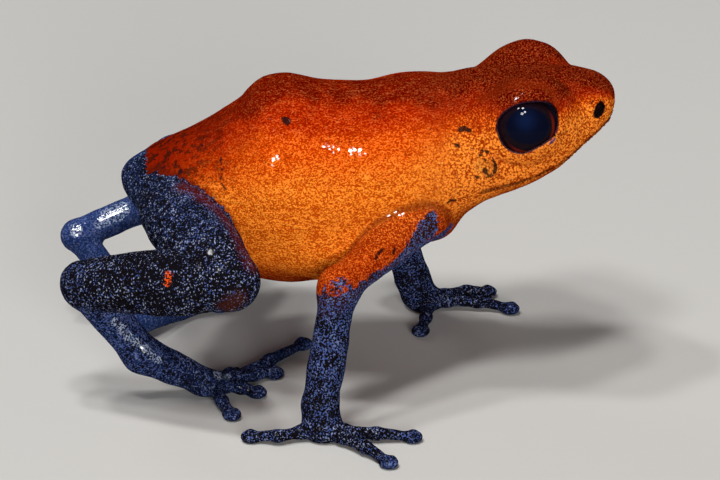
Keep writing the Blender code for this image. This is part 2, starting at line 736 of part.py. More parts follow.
def build_limb(side_name, limb, clearance, floor_block, collection, cutters):
    joints = limb_joints(limb)
    along = {
        "elbow": mitre_normal(joints["shoulder"], joints["elbow"], joints["wrist"]),
        "wrist": mitre_normal(joints["elbow"], joints["wrist"], joints["hand"]),
        "knee": mitre_normal(joints["hip"], joints["knee"], joints["heel"]),
        "heel": mitre_normal(joints["knee"], joints["heel"], joints["ankle"]),
        "ankle": mitre_normal(joints["heel"], joints["ankle"], joints["foot"]),
    }
    blocks = {}
    for joint, normal in along.items():
        normal = normal / np.linalg.norm(normal)
        half_gap = normal * PART_GAP / 2
        blocks[joint, "before"] = half_space(f"before_{joint}_{side_name}", joints[joint] + half_gap, -normal,
                                             cutters)
        blocks[joint, "after"] = half_space(f"after_{joint}_{side_name}", joints[joint] - half_gap, normal,
                                            cutters)
    for kind, start, end in LIMB_PARTS:
        form = limb_part_form(kind, limb)
        low, high = form.box()
        colour = ORANGE if kind == "upper_arm" else BLUE_BLACK
        name = f"{kind}_{side_name}"
        thing = flesh_object(name, kind, form, low, high, CELL_COARSE,
                             make_material(name, colour, 0.3, 0.6), collection)
        if kind == "hand":
            join_digits(thing, palm_middle(joints["hand"], PALM_RADII), limb["fingers"], limb["side"])
        if kind == "foot":
            join_digits(thing, palm_middle(joints["foot"], SOLE_RADII), limb["toes"], limb["side"])
        if start:
            cut(thing, blocks[start, "before"])
        else:
            cut(thing, clearance)
        if end:
            cut(thing, blocks[end, "after"])
        else:
            cut(thing, floor_block)
        apply_modifiers(thing)
        keep_largest(thing)


def build_frog():
    clear_scene()
    collection = bpy.data.collections.new("strawberry_poison_dart_frog")
    cutters = bpy.data.collections.new("cutters")
    for group in (collection, cutters):
        bpy.context.scene.collection.children.link(group)
    trunk = build_trunk(collection, cutters)
    clearance = trunk_clearance(trunk, cutters)
    floor_block = half_space("below_floor", (BOX_MIDDLE_X, BOX_MIDDLE_Y, 0), (0, 0, -1), cutters)
    for side_name, limb in LIMBS.items():
        build_limb(side_name, limb, clearance, floor_block, collection, cutters)


build_frog()
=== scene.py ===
import math
from functools import partial

import bmesh
import bpy
import numpy as np
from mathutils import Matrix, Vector


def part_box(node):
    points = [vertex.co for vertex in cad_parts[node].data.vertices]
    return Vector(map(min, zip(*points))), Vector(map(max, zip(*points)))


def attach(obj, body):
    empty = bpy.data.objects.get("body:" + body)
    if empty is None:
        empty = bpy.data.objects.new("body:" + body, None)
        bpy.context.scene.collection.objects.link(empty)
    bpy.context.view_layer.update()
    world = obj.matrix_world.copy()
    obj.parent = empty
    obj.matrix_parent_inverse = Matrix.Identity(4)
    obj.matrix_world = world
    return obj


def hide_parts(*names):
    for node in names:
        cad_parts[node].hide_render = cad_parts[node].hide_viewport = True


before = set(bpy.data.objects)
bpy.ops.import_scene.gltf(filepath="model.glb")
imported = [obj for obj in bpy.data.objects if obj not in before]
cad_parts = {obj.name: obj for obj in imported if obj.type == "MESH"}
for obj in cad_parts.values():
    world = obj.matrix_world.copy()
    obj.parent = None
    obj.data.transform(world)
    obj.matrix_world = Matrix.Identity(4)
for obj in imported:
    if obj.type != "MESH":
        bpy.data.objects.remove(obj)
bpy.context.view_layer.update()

# A strawberry poison dart frog, life size. Sizes below are in millimetres, with x forward from the vent,
# y to the frog's left and z up from the floor. Tables for the right side count y outwards from the backbone.
mm = 0.001
far = 9.0  # distance given to points that no form comes near

# The trunk
trunkShape = {
    # forward, top, widest level, bottom, half width, squareness above and below
    "sections": (
        (0.00, 9.25, 9.20, 9.15, 0.05, 2.0, 2.0), (0.45, 9.80, 9.10, 8.10, 1.45, 2.0, 2.0),
        (1.33, 10.30, 8.95, 7.10, 2.30, 2.0, 2.0), (3.47, 11.43, 8.80, 5.85, 3.40, 2.0, 2.1),
        (5.47, 12.70, 8.75, 4.87, 4.00, 2.1, 2.1), (6.50, 13.43, 8.80, 4.60, 4.30, 2.1, 2.1),
        (7.47, 13.70, 8.90, 4.52, 4.45, 2.0, 2.1), (8.60, 13.45, 8.90, 4.65, 4.52, 2.0, 2.1),
        (10.20, 13.35, 9.00, 4.85, 4.45, 2.0, 2.0), (12.67, 13.66, 9.60, 5.70, 4.08, 2.0, 2.0),
        (14.10, 13.75, 10.10, 6.65, 3.85, 2.0, 2.0), (15.20, 13.88, 10.55, 7.75, 3.75, 2.1, 2.1),
        (16.20, 14.05, 10.80, 8.60, 3.75, 2.2, 2.3), (17.80, 14.15, 11.10, 9.35, 3.55, 2.4, 2.6),
        (19.20, 14.15, 11.60, 10.17, 2.95, 2.5, 2.6), (20.25, 14.04, 12.00, 11.00, 2.35, 2.5, 2.5),
        (21.05, 13.83, 12.40, 11.58, 1.72, 2.7, 2.3), (21.58, 13.50, 12.68, 12.10, 1.12, 2.4, 2.1),
        (21.80, 12.90, 12.84, 12.78, 0.05, 2.0, 2.0)),
    "cheek": ((17.75, 2.35, 12.15), (2.15, 1.15, 1.75), 0.9),
    "brow": ((17.98, 2.25, 13.28), (1.68, 1.30, 1.45), 0.7),
    # low swellings of the back and shoulders: centre, radii, blend
    "swellings": (((6.75, 0.70, 12.45), (1.2, 0.9, 1.00), 0.6), ((13.0, 1.9, 12.00), (1.8, 1.2, 1.12), 0.7),
                  ((9.9, 3.6, 6.9), (2.3, 1.0, 1.3), 0.8), ((13.85, 2.1, 8.35), (1.10, 1.3, 1.30), 0.5)),
    "mouth": ((15.95, 3.80, 9.79), (16.80, 3.76, 10.02), (17.80, 3.60, 10.35), (19.20, 3.00, 11.00),
              (20.25, 2.20, 11.62), (21.12, 1.35, 12.10), (21.58, 0.60, 12.42), (21.70, 0.00, 12.50)),
    "mouthGroove": 0.12, "mouthEnd": 0.03, "mouthBlend": 0.07,
    "lip": (0.05, 0.075, 0.05), "lipDrop": 0.16, "lipBlend": 0.14,
    "nostril": (21.03, 1.66, 12.95),
    "nostrilRadii": (0.19, 0.34, 0.34),
    "nostrilRim": (0.36, 0.13, 0.50), "nostrilBlend": 0.08, "rimBlend": 0.25,
    "nostrilSlant": 0.35,  # leans forward by this many radians
    "eardrum": (15.93, 3.76, 11.00),
    "eardrumRadii": (0.46, 0.12, 0.46), "eardrumBlend": 0.10,
    "eardrumRidge": ((16.27, 3.80, 11.61), (16.44, 3.86, 11.30), (16.47, 3.90, 11.00), (16.34, 3.88, 10.74),
                     (15.94, 3.81, 10.53)),
    "ridgeRadii": (0.06, 0.13, 0.14, 0.13, 0.06), "ridgeBlend": 0.16,
    # shallow folds over the eye, under it and along the upper arm: path, width and depth; the skin in them is also
    # darkened with painted shade
    "folds": ((((15.73, 2.15, 13.62), (16.31, 2.30, 14.05), (17.45, 2.60, 14.55), (18.40, 2.75, 14.55),
                (18.95, 2.90, 14.15), (19.22, 3.20, 13.57)), 0.20, 0.07),
              (((16.40, 3.71, 11.66), (16.85, 3.78, 11.30), (17.80, 3.80, 11.12), (18.40, 3.76, 11.25),
                (18.95, 3.60, 11.55)), 0.17, 0.06),
              (((11.98, 4.28, 9.03), (11.46, 4.65, 8.62), (10.93, 5.14, 8.26), (10.24, 5.70, 7.85)), 0.09, 0.05)),
    "skinBlend": 0.55,
}

eyeShape = {
    "centre": (17.80, 2.48, 12.50),
    "radius": 1.52,
    "tiltUp": 23.0,  # the opening looks out and up
    "openingShift": (0.03, -0.09),
    # half size of the opening every fifteen degrees, from straight ahead by way of the top
    "opening": (1.35, 1.40, 1.47, 1.47, 1.31, 1.19, 1.12, 1.10, 1.12, 1.17, 1.25, 1.33,
                1.35, 1.32, 1.32, 1.30, 1.26, 1.20, 1.11, 1.04, 1.01, 1.05, 1.14, 1.26),
    "lidOver": 0.17, "lidBlend": 0.35, "openingBlend": 0.10,
    "lidBead": 0.11, "beadLift": 0.08, "beadBlend": 0.08,
    "socketGap": 0.015, "socketBlend": 0.02, "socketReach": 2.2,
    "cornea": 0.05,
    "rings": 72,
    "segments": 112,
}

limbShape = {
    "right": {
        "side": -1,
        "shoulder": (13.20, 3.05, 8.50), "elbow": (9.68, 6.50, 6.55), "wrist": (8.83, 7.45, 1.35),
        "hand": (8.95, 7.75, 0.45),
        "fingers": (((8.0, 8.1), (7.0, 8.45), (5.85, 8.2)), ((9.0, 7.0), (9.05, 6.2), (9.1, 5.3)),
                    ((9.8, 8.6), (10.8, 9.6), (11.8, 10.75)), ((9.9, 8.0), (11.3, 8.25), (12.85, 8.2))),
        "hip": (1.95, 1.60, 8.78), "knee": (4.93, 7.05, 7.10), "heel": (-1.45, 4.40, 5.80),
        "ankle": (0.90, 4.00, 2.28), "foot": (3.90, 3.10, 0.55),
        "toes": (((4.3, 3.9), (4.5, 4.9), (4.95, 5.9)), ((4.6, 3.3), (5.3, 3.5), (6.0, 3.6)),
                 ((4.8, 2.7), (5.9, 2.1), (6.75, 1.55)), ((4.8, 2.5), (6.5, 0.6), (8.0, -1.6)),
                 ((4.3, 2.5), (4.75, 2.05), (5.1, 1.75))),
    },
    "left": {
        "side": 1,
        "shoulder": (13.20, 3.05, 8.50), "elbow": (11.60, 6.15, 5.85), "wrist": (13.05, 6.35, 1.35),
        "hand": (13.55, 6.30, 0.45),
        "fingers": (((13.2, 7.1), (12.9, 7.9), (12.6, 8.8)), ((14.5, 6.8), (15.5, 7.2), (16.5, 7.5)),
                    ((14.6, 6.1), (16.0, 6.0), (17.5, 5.6)), ((13.7, 5.3), (13.6, 4.2), (13.35, 3.1))),
        "hip": (1.95, 1.60, 8.78), "knee": (5.00, 7.05, 6.75), "heel": (-2.34, 4.52, 4.36),
        "ankle": (0.60, 3.20, 1.00), "foot": (2.30, 5.40, 0.55),
        "shankRadii": (1.22, 1.10, 0.72, 0.68), "tarsusRadii": (0.66, 0.64, 0.66, 0.70),
        "toes": (((2.2, 6.4), (2.0, 7.2), (1.9, 8.0)), ((2.7, 6.4), (3.0, 7.4), (3.2, 8.4)),
                 ((3.0, 6.2), (3.7, 7.2), (4.2, 8.1)), ((3.1, 5.9), (4.0, 6.7), (4.8, 7.4)),
                 ((2.9, 5.3), (3.5, 5.5), (4.1, 5.8))),
    },
    "upperArmRadii": (1.25, 1.02, 0.88, 0.84), "forearmRadii": (0.82, 0.78, 0.84, 0.72),
    "thighRadii": (1.28, 1.72, 1.62, 1.28), "shankRadii": (1.25, 1.48, 1.38, 1.10),
    "tarsusRadii": (0.92, 0.90, 0.82, 0.77), "instepRadii": (0.77, 0.77, 0.68, 0.52),
    "wristRadii": (0.70, 0.62), "palmRadii": (0.95, 0.85, 0.48), "soleRadii": (0.80, 0.72, 0.46),
    "digitRadii": (0.36, 0.29, 0.25, 0.26, 0.24, 0.18), "knuckle": 0.29, "digitArch": 0.16, "digitBlend": 0.22,
    "disc": (0.46, 0.42, 0.27), "discBlend": 0.12, "pad": (0.20, 0.15, 0.15), "padBlend": 0.06, "floorSink": 0.05,
    "knuckleSwell": (1.06, 0.97), "knuckleBlend": 0.2,
    "armToBody": 0.34, "legToBody": 0.22, "foldBlend": 0.26,
}

skinMesh = {
    "cell": 0.18,            # edge of the cells that the skin is meshed in
    "fineHead": (14.2, 9.2),  # the head's faces are halved forward of the first and above the second
    "fineFeet": 0.9,         # and those of hands and feet below this height
    "finest": 0.13,          # halved again this close to lids, lips and nostrils
    "margin": 0.6,
}


def smoothSteps(where, stations, values):  # a cubic that never swings past its points
    widths = np.diff(stations)
    rises = np.diff(values) / widths
    slopes = np.zeros(len(values))
    level = rises[:-1] * rises[1:] > 0
    total = rises[:-1] + rises[1:]
    slopes[1:-1][level] = 2 * rises[:-1][level] * rises[1:][level] / total[level]
    slopes[0] = rises[0]
    slopes[-1] = rises[-1]
    index = np.clip(np.searchsorted(stations, where) - 1, 0, len(widths) - 1)
    t = np.clip((where - stations[index]) / widths[index], 0, 1)
    width = widths[index]
    rise = values[index + 1] - values[index]
    bend = 3 * rise - width * (2 * slopes[index] + slopes[index + 1])
    twist = width * (slopes[index] + slopes[index + 1]) - 2 * rise
    return values[index] + t * (width * slopes[index] + t * (bend + t * twist))


def smoothUnion(first, second, blend):
    overlap = np.maximum(blend - np.abs(first - second), 0) / blend
    return np.minimum(first, second) - overlap * overlap * blend / 4


def smoothCarve(first, cutter, blend):
    return -smoothUnion(-first, cutter, blend)


def trunkProfile():  # finely sampled along the body; squares are interpolated, so the ends close round
    rows = np.array(trunkShape["sections"])
    stations = rows[:, 0]
    fine = np.sin(np.linspace(0, math.pi / 2, 3000)) ** 2 * stations[-1]
    columns = (rows[:, 2], (rows[:, 1] - rows[:, 2]) ** 2, (rows[:, 2] - rows[:, 3]) ** 2, rows[:, 4] ** 2,
               rows[:, 5], rows[:, 6])
    level, over, under, half, upper, lower = (smoothSteps(fine, stations, column) for column in columns)
    return fine, level, np.sqrt(over), np.sqrt(under), np.sqrt(half), upper, lower


profile = trunkProfile()


def trunkDistance(points):  # ovals lofted from vent to snout
    along = np.clip(points[:, 0], 0, profile[0][-1])
    level, over, under, half, upper, lower = (np.interp(along, profile[0], column) for column in profile[1:])
    above = points[:, 2] > level
    height = np.where(above, over, under)
    power = np.where(above, upper, lower)
    rise = points[:, 2] - level
    side = points[:, 1]
    ratio = (np.abs(side / half) ** power + np.abs(rise / height) ** power) ** (1 / power)
    ratio = np.maximum(ratio, 1e-6)
    across = np.hypot(side, rise) * (1 - 1 / ratio)
    pastEnd = np.abs(points[:, 0] - along)
    return np.where(pastEnd > 0, np.hypot(np.maximum(across, 0), pastEnd), across)


def ovalDistance(points, centre, radii, turn=None):
    offset = points - np.array(centre)
    if turn is not None:
        offset = offset @ turn
    scaled = offset / np.array(radii)
    near = np.linalg.norm(scaled, axis=1)
    steep = np.linalg.norm(scaled / np.array(radii), axis=1)
    return near * (near - 1) / np.maximum(steep, 1e-6)


def tubeDistance(points, path, radii=None):  # to the path itself where no radii are given
    path = np.array(path)
    radii = np.zeros(len(path)) if radii is None else radii
    distance = np.full(len(points), far)
    for start, end, first, last in zip(path[:-1], path[1:], radii[:-1], radii[1:]):
        line = end - start
        t = np.clip((points - start) @ line / (line @ line), 0, 1)
        gap = np.linalg.norm(points - start - t[:, None] * line, axis=1)
        distance = np.minimum(distance, gap - first - t * (last - first))
    return distance


def curveThrough(knots, steps):
    knots = np.array(knots, float)
    stations = np.arange(len(knots), dtype=float)
    at = np.linspace(0, len(knots) - 1, steps * (len(knots) - 1) + 1)
    return np.column_stack([smoothSteps(at, stations, knots[:, i]) for i in range(knots.shape[1])])


def mirrored(point, side):  # a point, or each point of a path
    return np.array(point) * (1, side, 1)


# A form is a list of pieces that run together, each known only within its own box
def addPiece(form, distance, low, high, blend, carve=False):
    reach = blend + 2 * skinMesh["cell"]
    form.append((distance, np.array(low) - reach, np.array(high) + reach, blend, carve))


def addTube(form, knots, radii, blend, steps=6, carve=False):
    girth = curveThrough(np.array(radii)[:, None], 6)[:, 0]
    path = curveThrough(knots, steps)
    radii = np.interp(np.linspace(0, 1, len(path)), np.linspace(0, 1, len(girth)), girth)
    addPiece(form, lambda points: tubeDistance(points, path, radii), path.min(axis=0) - radii.max(),
             path.max(axis=0) + radii.max(), blend, carve)


def addOval(form, centre, radii, blend, turn=None, carve=False):
    fat = max(radii)
    addPiece(form, lambda points: ovalDistance(points, centre, radii, turn), np.array(centre) - fat,
             np.array(centre) + fat, blend, carve)


def formDistance(form, points):
    value = np.full(len(points), far)
    for piece, low, high, blend, carve in form:
        near = np.all((points > low) & (points < high), axis=1)
        if near.any():
            combine = smoothCarve if carve else smoothUnion
            value[near] = combine(value[near], piece(points[near]), blend)
    return value


def formBox(form):
    return np.min([piece[1] for piece in form], axis=0), np.max([piece[2] for piece in form], axis=0)


def eyeAxes(side):  # forward, up and out, as the opening of the eye lies
    tilt = math.radians(eyeShape["tiltUp"])
    ahead = np.array((1.0, 0.0, 0.0))
    out = np.array((0.0, side * math.cos(tilt), math.sin(tilt)))
    up = np.array((0.0, -side * math.sin(tilt), math.cos(tilt)))
    return ahead, up, out


def eyeLocal(points, side):
    ahead, up, out = eyeAxes(side)
    offset = points - mirrored(eyeShape["centre"], side)
    shift = eyeShape["openingShift"]
    return offset @ ahead - shift[0], offset @ up - shift[1], offset @ out


def openingRadius(angle):
    turns = np.mod(angle / (2 * math.pi), 1) * len(eyeShape["opening"])
    ring = eyeShape["opening"]
    padded = np.array(ring[-2:] + ring + ring[:3])
    return smoothSteps(turns + 2, np.arange(len(padded), dtype=float), padded)


def openingDistance(points, side):  # how far outside the slanting tube through the opening of the eye
    ahead, up, out = eyeLocal(points, side)
    return np.maximum(np.hypot(ahead, up) - openingRadius(np.arctan2(up, ahead)), 0.4 - out)


def lidEdge(side, reach):
    ahead, up, out = eyeAxes(side)
    angles = np.linspace(0, 2 * math.pi, 49)
    size = openingRadius(angles)[:, None] + 0.03
    shift = eyeShape["openingShift"]
    flat = (size * np.cos(angles)[:, None] + shift[0]) * ahead + (size * np.sin(angles)[:, None] + shift[1]) * up
    depth = np.sqrt(np.maximum(reach ** 2 - (flat ** 2).sum(axis=1), 0.05))
    return mirrored(eyeShape["centre"], side) + flat + depth[:, None] * out


def plainTrunk():
    rows = np.array(trunkShape["sections"])
    form = []
    addPiece(form, trunkDistance, (rows[0, 0], -rows[:, 4].max(), rows[:, 3].min()),
             (rows[-1, 0], rows[:, 4].max(), rows[:, 1].max()), trunkShape["skinBlend"])
    for side in (-1, 1):
        for centre, radii, blend in (trunkShape["cheek"], trunkShape["brow"], *trunkShape["swellings"]):
            addOval(form, mirrored(centre, side), radii, blend)
    return form


def mouthPath():
    right = [(x, -half, z) for x, half, z in trunkShape["mouth"]]
    left = [(x, half, z) for x, half, z in reversed(trunkShape["mouth"][:-1])]
    return curveThrough(right + left, 4)


def nostrilTurn():
    lean = trunkShape["nostrilSlant"]
    return np.array(((math.cos(lean), 0, math.sin(lean)), (0, 1, 0), (-math.sin(lean), 0, math.cos(lean))))


def dressedTrunk(plain):  # lids, lips, nostrils and ears
    form = list(plain)
    shape = trunkShape

    def onSkin(name, side):
        return drawOn(np.atleast_2d(mirrored(shape[name], side)), plain)

    for side in (-1, 1):
        centre = mirrored(eyeShape["centre"], side)
        addOval(form, centre, (eyeShape["radius"] + eyeShape["lidOver"],) * 3, eyeShape["lidBlend"])
        addOval(form, onSkin("nostril", side)[0], shape["nostrilRim"], shape["rimBlend"], nostrilTurn())
        addTube(form, onSkin("eardrumRidge", side), shape["ridgeRadii"], shape["ridgeBlend"])
    lips = drawOn(mouthPath(), plain)
    addTube(form, drawOn(lips - (0, 0, shape["lipDrop"]), plain), shape["lip"], shape["lipBlend"], steps=1)
    for side in (-1, 1):
        centre = mirrored(eyeShape["centre"], side)
        reach = eyeShape["socketReach"]
        addPiece(form, lambda points, side=side: openingDistance(points, side), centre - reach, centre + reach,
                 eyeShape["openingBlend"], True)
        edge = lidEdge(side, eyeShape["radius"] + eyeShape["beadLift"])
        addPiece(form, lambda points, edge=edge: tubeDistance(points, edge, np.full(len(edge), eyeShape["lidBead"])),
                 edge.min(axis=0), edge.max(axis=0), eyeShape["beadBlend"])
        addOval(form, centre, (eyeShape["radius"] + eyeShape["socketGap"],) * 3, eyeShape["socketBlend"], carve=True)
        addOval(form, onSkin("nostril", side)[0], shape["nostrilRadii"], shape["nostrilBlend"], nostrilTurn(), True)
        addOval(form, onSkin("eardrum", side)[0], shape["eardrumRadii"], shape["eardrumBlend"], carve=True)
    girth = (shape["mouthEnd"], *(shape["mouthGroove"],) * 3, shape["mouthEnd"])
    addTube(form, lips, girth, shape["mouthBlend"], steps=1, carve=True)
    return form


def addDigit(form, middle, digit, side):  # arched over its middle joint, widened to a disc at its tip
    height = limbShape["digitRadii"][1] - limbShape["floorSink"]
    spots = [mirrored((x, y, height), side) for x, y in digit]
    arch = np.array((0, 0, limbShape["digitArch"]))
    way = (spots[2] - spots[1]) / np.linalg.norm(spots[2] - spots[1])
    discTall = limbShape["disc"][2]
    tip = spots[2] * (1, 1, 0) + (0, 0, discTall - limbShape["floorSink"])
    addTube(form, [middle, spots[0] + arch, spots[1] + arch, tip], limbShape["digitRadii"], limbShape["digitBlend"])
    for spot, swell in zip(spots, limbShape["knuckleSwell"]):
        addOval(form, spot + arch * 0.9, (limbShape["knuckle"] * swell,) * 3, limbShape["knuckleBlend"])
    turn = flatTurn(way)
    addOval(form, tip, limbShape["disc"], limbShape["discBlend"], turn)
    for across in (-0.5, 0.5):  # the pair of low pads on top of a disc
        pad = tip + way * 0.06 + np.array((-way[1], way[0], 0)) * across * 0.36 + (0, 0, 0.13)
        addOval(form, pad, limbShape["pad"], limbShape["padBlend"], turn)


def flatTurn(way):
    angle = math.atan2(way[1], way[0])
    return np.array(((math.cos(angle), -math.sin(angle), 0), (math.sin(angle), math.cos(angle), 0), (0, 0, 1)))


def addPalm(form, root, palm, rootRadii, palmRadii, digits, side):
    middle = np.array((palm[0], palm[1], palmRadii[2] - limbShape["floorSink"]))
    addTube(form, [root, middle], rootRadii, trunkShape["skinBlend"])
    addOval(form, middle, palmRadii, trunkShape["skinBlend"], flatTurn(middle - root))
    for digit in digits:
        addDigit(form, middle, digit, side)


def limbJoints(limb):
    return {key: mirrored(limb[key], limb["side"]) for key in
            ("shoulder", "elbow", "wrist", "hand", "hip", "knee", "heel", "ankle", "foot")}


def armForm(limb):
    joint = limbJoints(limb)
    form = []
    addTube(form, [joint["shoulder"], joint["elbow"]], limbShape["upperArmRadii"], trunkShape["skinBlend"])
    addTube(form, [joint["elbow"], joint["wrist"]], limbShape["forearmRadii"], trunkShape["skinBlend"])
    addPalm(form, joint["wrist"], joint["hand"], limbShape["wristRadii"], limbShape["palmRadii"], limb["fingers"],
            limb["side"])
    return form


def legForm(limb):
    joint = limbJoints(limb)
    form = []
    fold = limbShape["foldBlend"]
    addTube(form, [joint["hip"], joint["knee"]], limbShape["thighRadii"], fold)
    addTube(form, [joint["knee"], joint["heel"]], limb.get("shankRadii", limbShape["shankRadii"]), fold)
    addTube(form, [joint["heel"], joint["ankle"]], limb.get("tarsusRadii", limbShape["tarsusRadii"]), fold)
    addPalm(form, joint["ankle"], joint["foot"], limbShape["instepRadii"], limbShape["soleRadii"], limb["toes"],
            limb["side"])
    return form


def drawOn(points, form, rounds=5):
    step = 0.008
    for _ in range(rounds):
        value = formDistance(form, points)
        slope = np.column_stack([formDistance(form, points + step * np.eye(3)[i]) - value for i in range(3)]) / step
        size = np.maximum((slope ** 2).sum(axis=1), 0.25)
        points = points - np.clip(value / size, -0.2, 0.2)[:, None] * slope
    return points


def nestedForm():
    plain = plainTrunk()
    whole = list(dressedTrunk(plain))
    groups = {"trunk": plain}
    for name in ("right", "left"):
        for kind, limb, blend in (("arm", armForm(limbShape[name]), limbShape["armToBody"]),
                                  ("leg", legForm(limbShape[name]), limbShape["legToBody"])):
            low, high = formBox(limb)
            addPiece(whole, lambda points, limb=limb: formDistance(limb, points), low, high, blend)
            groups[kind + name] = limb
    return whole, groups


def meshSurface(distance, low, high, cell):  # one vertex in each crossed cell, one quad over each crossed edge
    blocks = np.ceil((high - low) / (5 * cell)).astype(int)
    centres = low + 5 * cell * (np.argwhere(np.ones(blocks)) + 0.5)
    rough = distance(centres)
    counts = 5 * blocks
    values = np.repeat(np.repeat(np.repeat(rough.reshape(blocks), 5, 0), 5, 1), 5, 2)
    near = np.repeat(np.repeat(np.repeat(np.abs(rough.reshape(blocks)) < 6.5 * cell, 5, 0), 5, 1), 5, 2)
    values[near] = distance(low + cell * np.argwhere(near))  # only blocks close to the surface are worked out
    cells = counts - 1
    total = np.zeros((*cells, 3))
    crossed = np.zeros(cells)
    for axis in range(3):
        others = [i for i in range(3) if i != axis]
        for first in (0, 1):
            for second in (0, 1):
                shift = [0, 0, 0]
                shift[others[0]] = first
                shift[others[1]] = second
                near = values[tuple(slice(s, s + n) for s, n in zip(shift, cells))]
                shift[axis] = 1
                beyond = values[tuple(slice(s, s + n) for s, n in zip(shift, cells))]
                change = (near < 0) != (beyond < 0)
                spot = [0, 0, 0]
                spot[others[0]] = first
                spot[others[1]] = second
                for i in range(3):
                    total[..., i][change] += spot[i]
                total[..., axis][change] += near[change] / (near[change] - beyond[change])
                crossed[change] += 1
    active = crossed > 0
    number = np.full(cells, -1)
    number[active] = np.arange(active.sum())
    corners = np.argwhere(active) + total[active] / crossed[active][:, None]
    faces = []
    for axis in range(3):
        one, two = [(1, 2), (2, 0), (0, 1)][axis]
        near = values[tuple(slice(1, -1) if i != axis else slice(0, -1) for i in range(3))]
        beyond = values[tuple(slice(1, -1) if i != axis else slice(1, None) for i in range(3))]
        change = np.argwhere((near < 0) != (beyond < 0))
        outward = (near < 0)[tuple(change.T)]
        base = change + 1
        base[:, axis] -= 1
        stepOne = np.eye(3, dtype=int)[one]
        stepTwo = np.eye(3, dtype=int)[two]
        ring = [base - stepOne - stepTwo, base - stepTwo, base, base - stepOne]
        quads = np.column_stack([number[tuple(spot.T)] for spot in ring])
        quads[~outward] = quads[~outward][:, ::-1]
        faces.append(quads)
    return low + cell * corners, np.concatenate(faces)


def largestSurface(vertices, faces):
    label = np.arange(len(vertices))
    while True:
        lowest = label[faces].min(axis=1)
        fresh = label.copy()
        for i in range(4):
            np.minimum.at(fresh, faces[:, i], lowest)
        fresh = fresh[fresh]
        if np.array_equal(fresh, label):
            break
        label = fresh
    owners, counts = np.unique(label[faces[:, 0]], return_counts=True)
    keep = label[faces[:, 0]] == owners[counts.argmax()]
    used, renumbered = np.unique(faces[keep], return_inverse=True)
    return vertices[used], renumbered.reshape(-1, 4)


def evenOut(vertices, edges, form, rounds):
    for _ in range(rounds):
        total = np.zeros_like(vertices)
        count = np.zeros(len(vertices))
        for a, b in ((0, 1), (1, 0)):
            np.add.at(total, edges[:, a], vertices[edges[:, b]])
            np.add.at(count, edges[:, a], 1)
        vertices = 0.5 * vertices + 0.5 * total / count[:, None]
        vertices = drawOn(vertices, form, 1)
    return vertices


def pointsAndLinks(work):
    work.verts.index_update()
    return (np.array([vertex.co for vertex in work.verts]),
            np.array([[vertex.index for vertex in edge.verts] for edge in work.edges]))


def halveFaces(work, form, chosen):  # splits the chosen faces in four and evens everything out again
    middles = np.array([face.calc_center_median() for face in work.faces])
    edges = set()
    for face, pick in zip(list(work.faces), chosen(middles)):
        if pick:
            edges.update(face.edges)
    bmesh.ops.subdivide_edges(work, edges=list(edges), cuts=1, use_grid_fill=True)
    bmesh.ops.triangulate(work, faces=[face for face in work.faces if len(face.verts) > 4])
    vertices, links = pointsAndLinks(work)
    for vertex, place in zip(work.verts, evenOut(vertices, links, form, 2)):
        vertex.co = place


def latticeNoise(points, size, seed):  # smooth noise from -1 to 1
    table = np.random.default_rng(seed).random((32, 32, 32)) * 2 - 1
    where = points / size + 500
    base = np.floor(where).astype(int)
    t = where - base
    t = t * t * (3 - 2 * t)
    value = np.zeros(len(points))
    for corner in range(8):
        step = np.array((corner & 1, corner >> 1 & 1, corner >> 2 & 1))
        weight = np.prod(np.where(step, t, 1 - t), axis=1)
        value += weight * table[tuple(((base + step) % 32).T)]
    return value


# The skin
relief = {
    "trunk": ((1.7, 0.055), (0.75, 0.026), (0.34, 0.014)),  # size and height of each layer of unevenness
    "head": ((1.1, 0.018), (0.42, 0.012)),
    "limbs": ((1.0, 0.045), (0.42, 0.022)),
    "flankStretch": (0.45, 1.0, 1.35),  # wrinkles of the flank run along the body
}

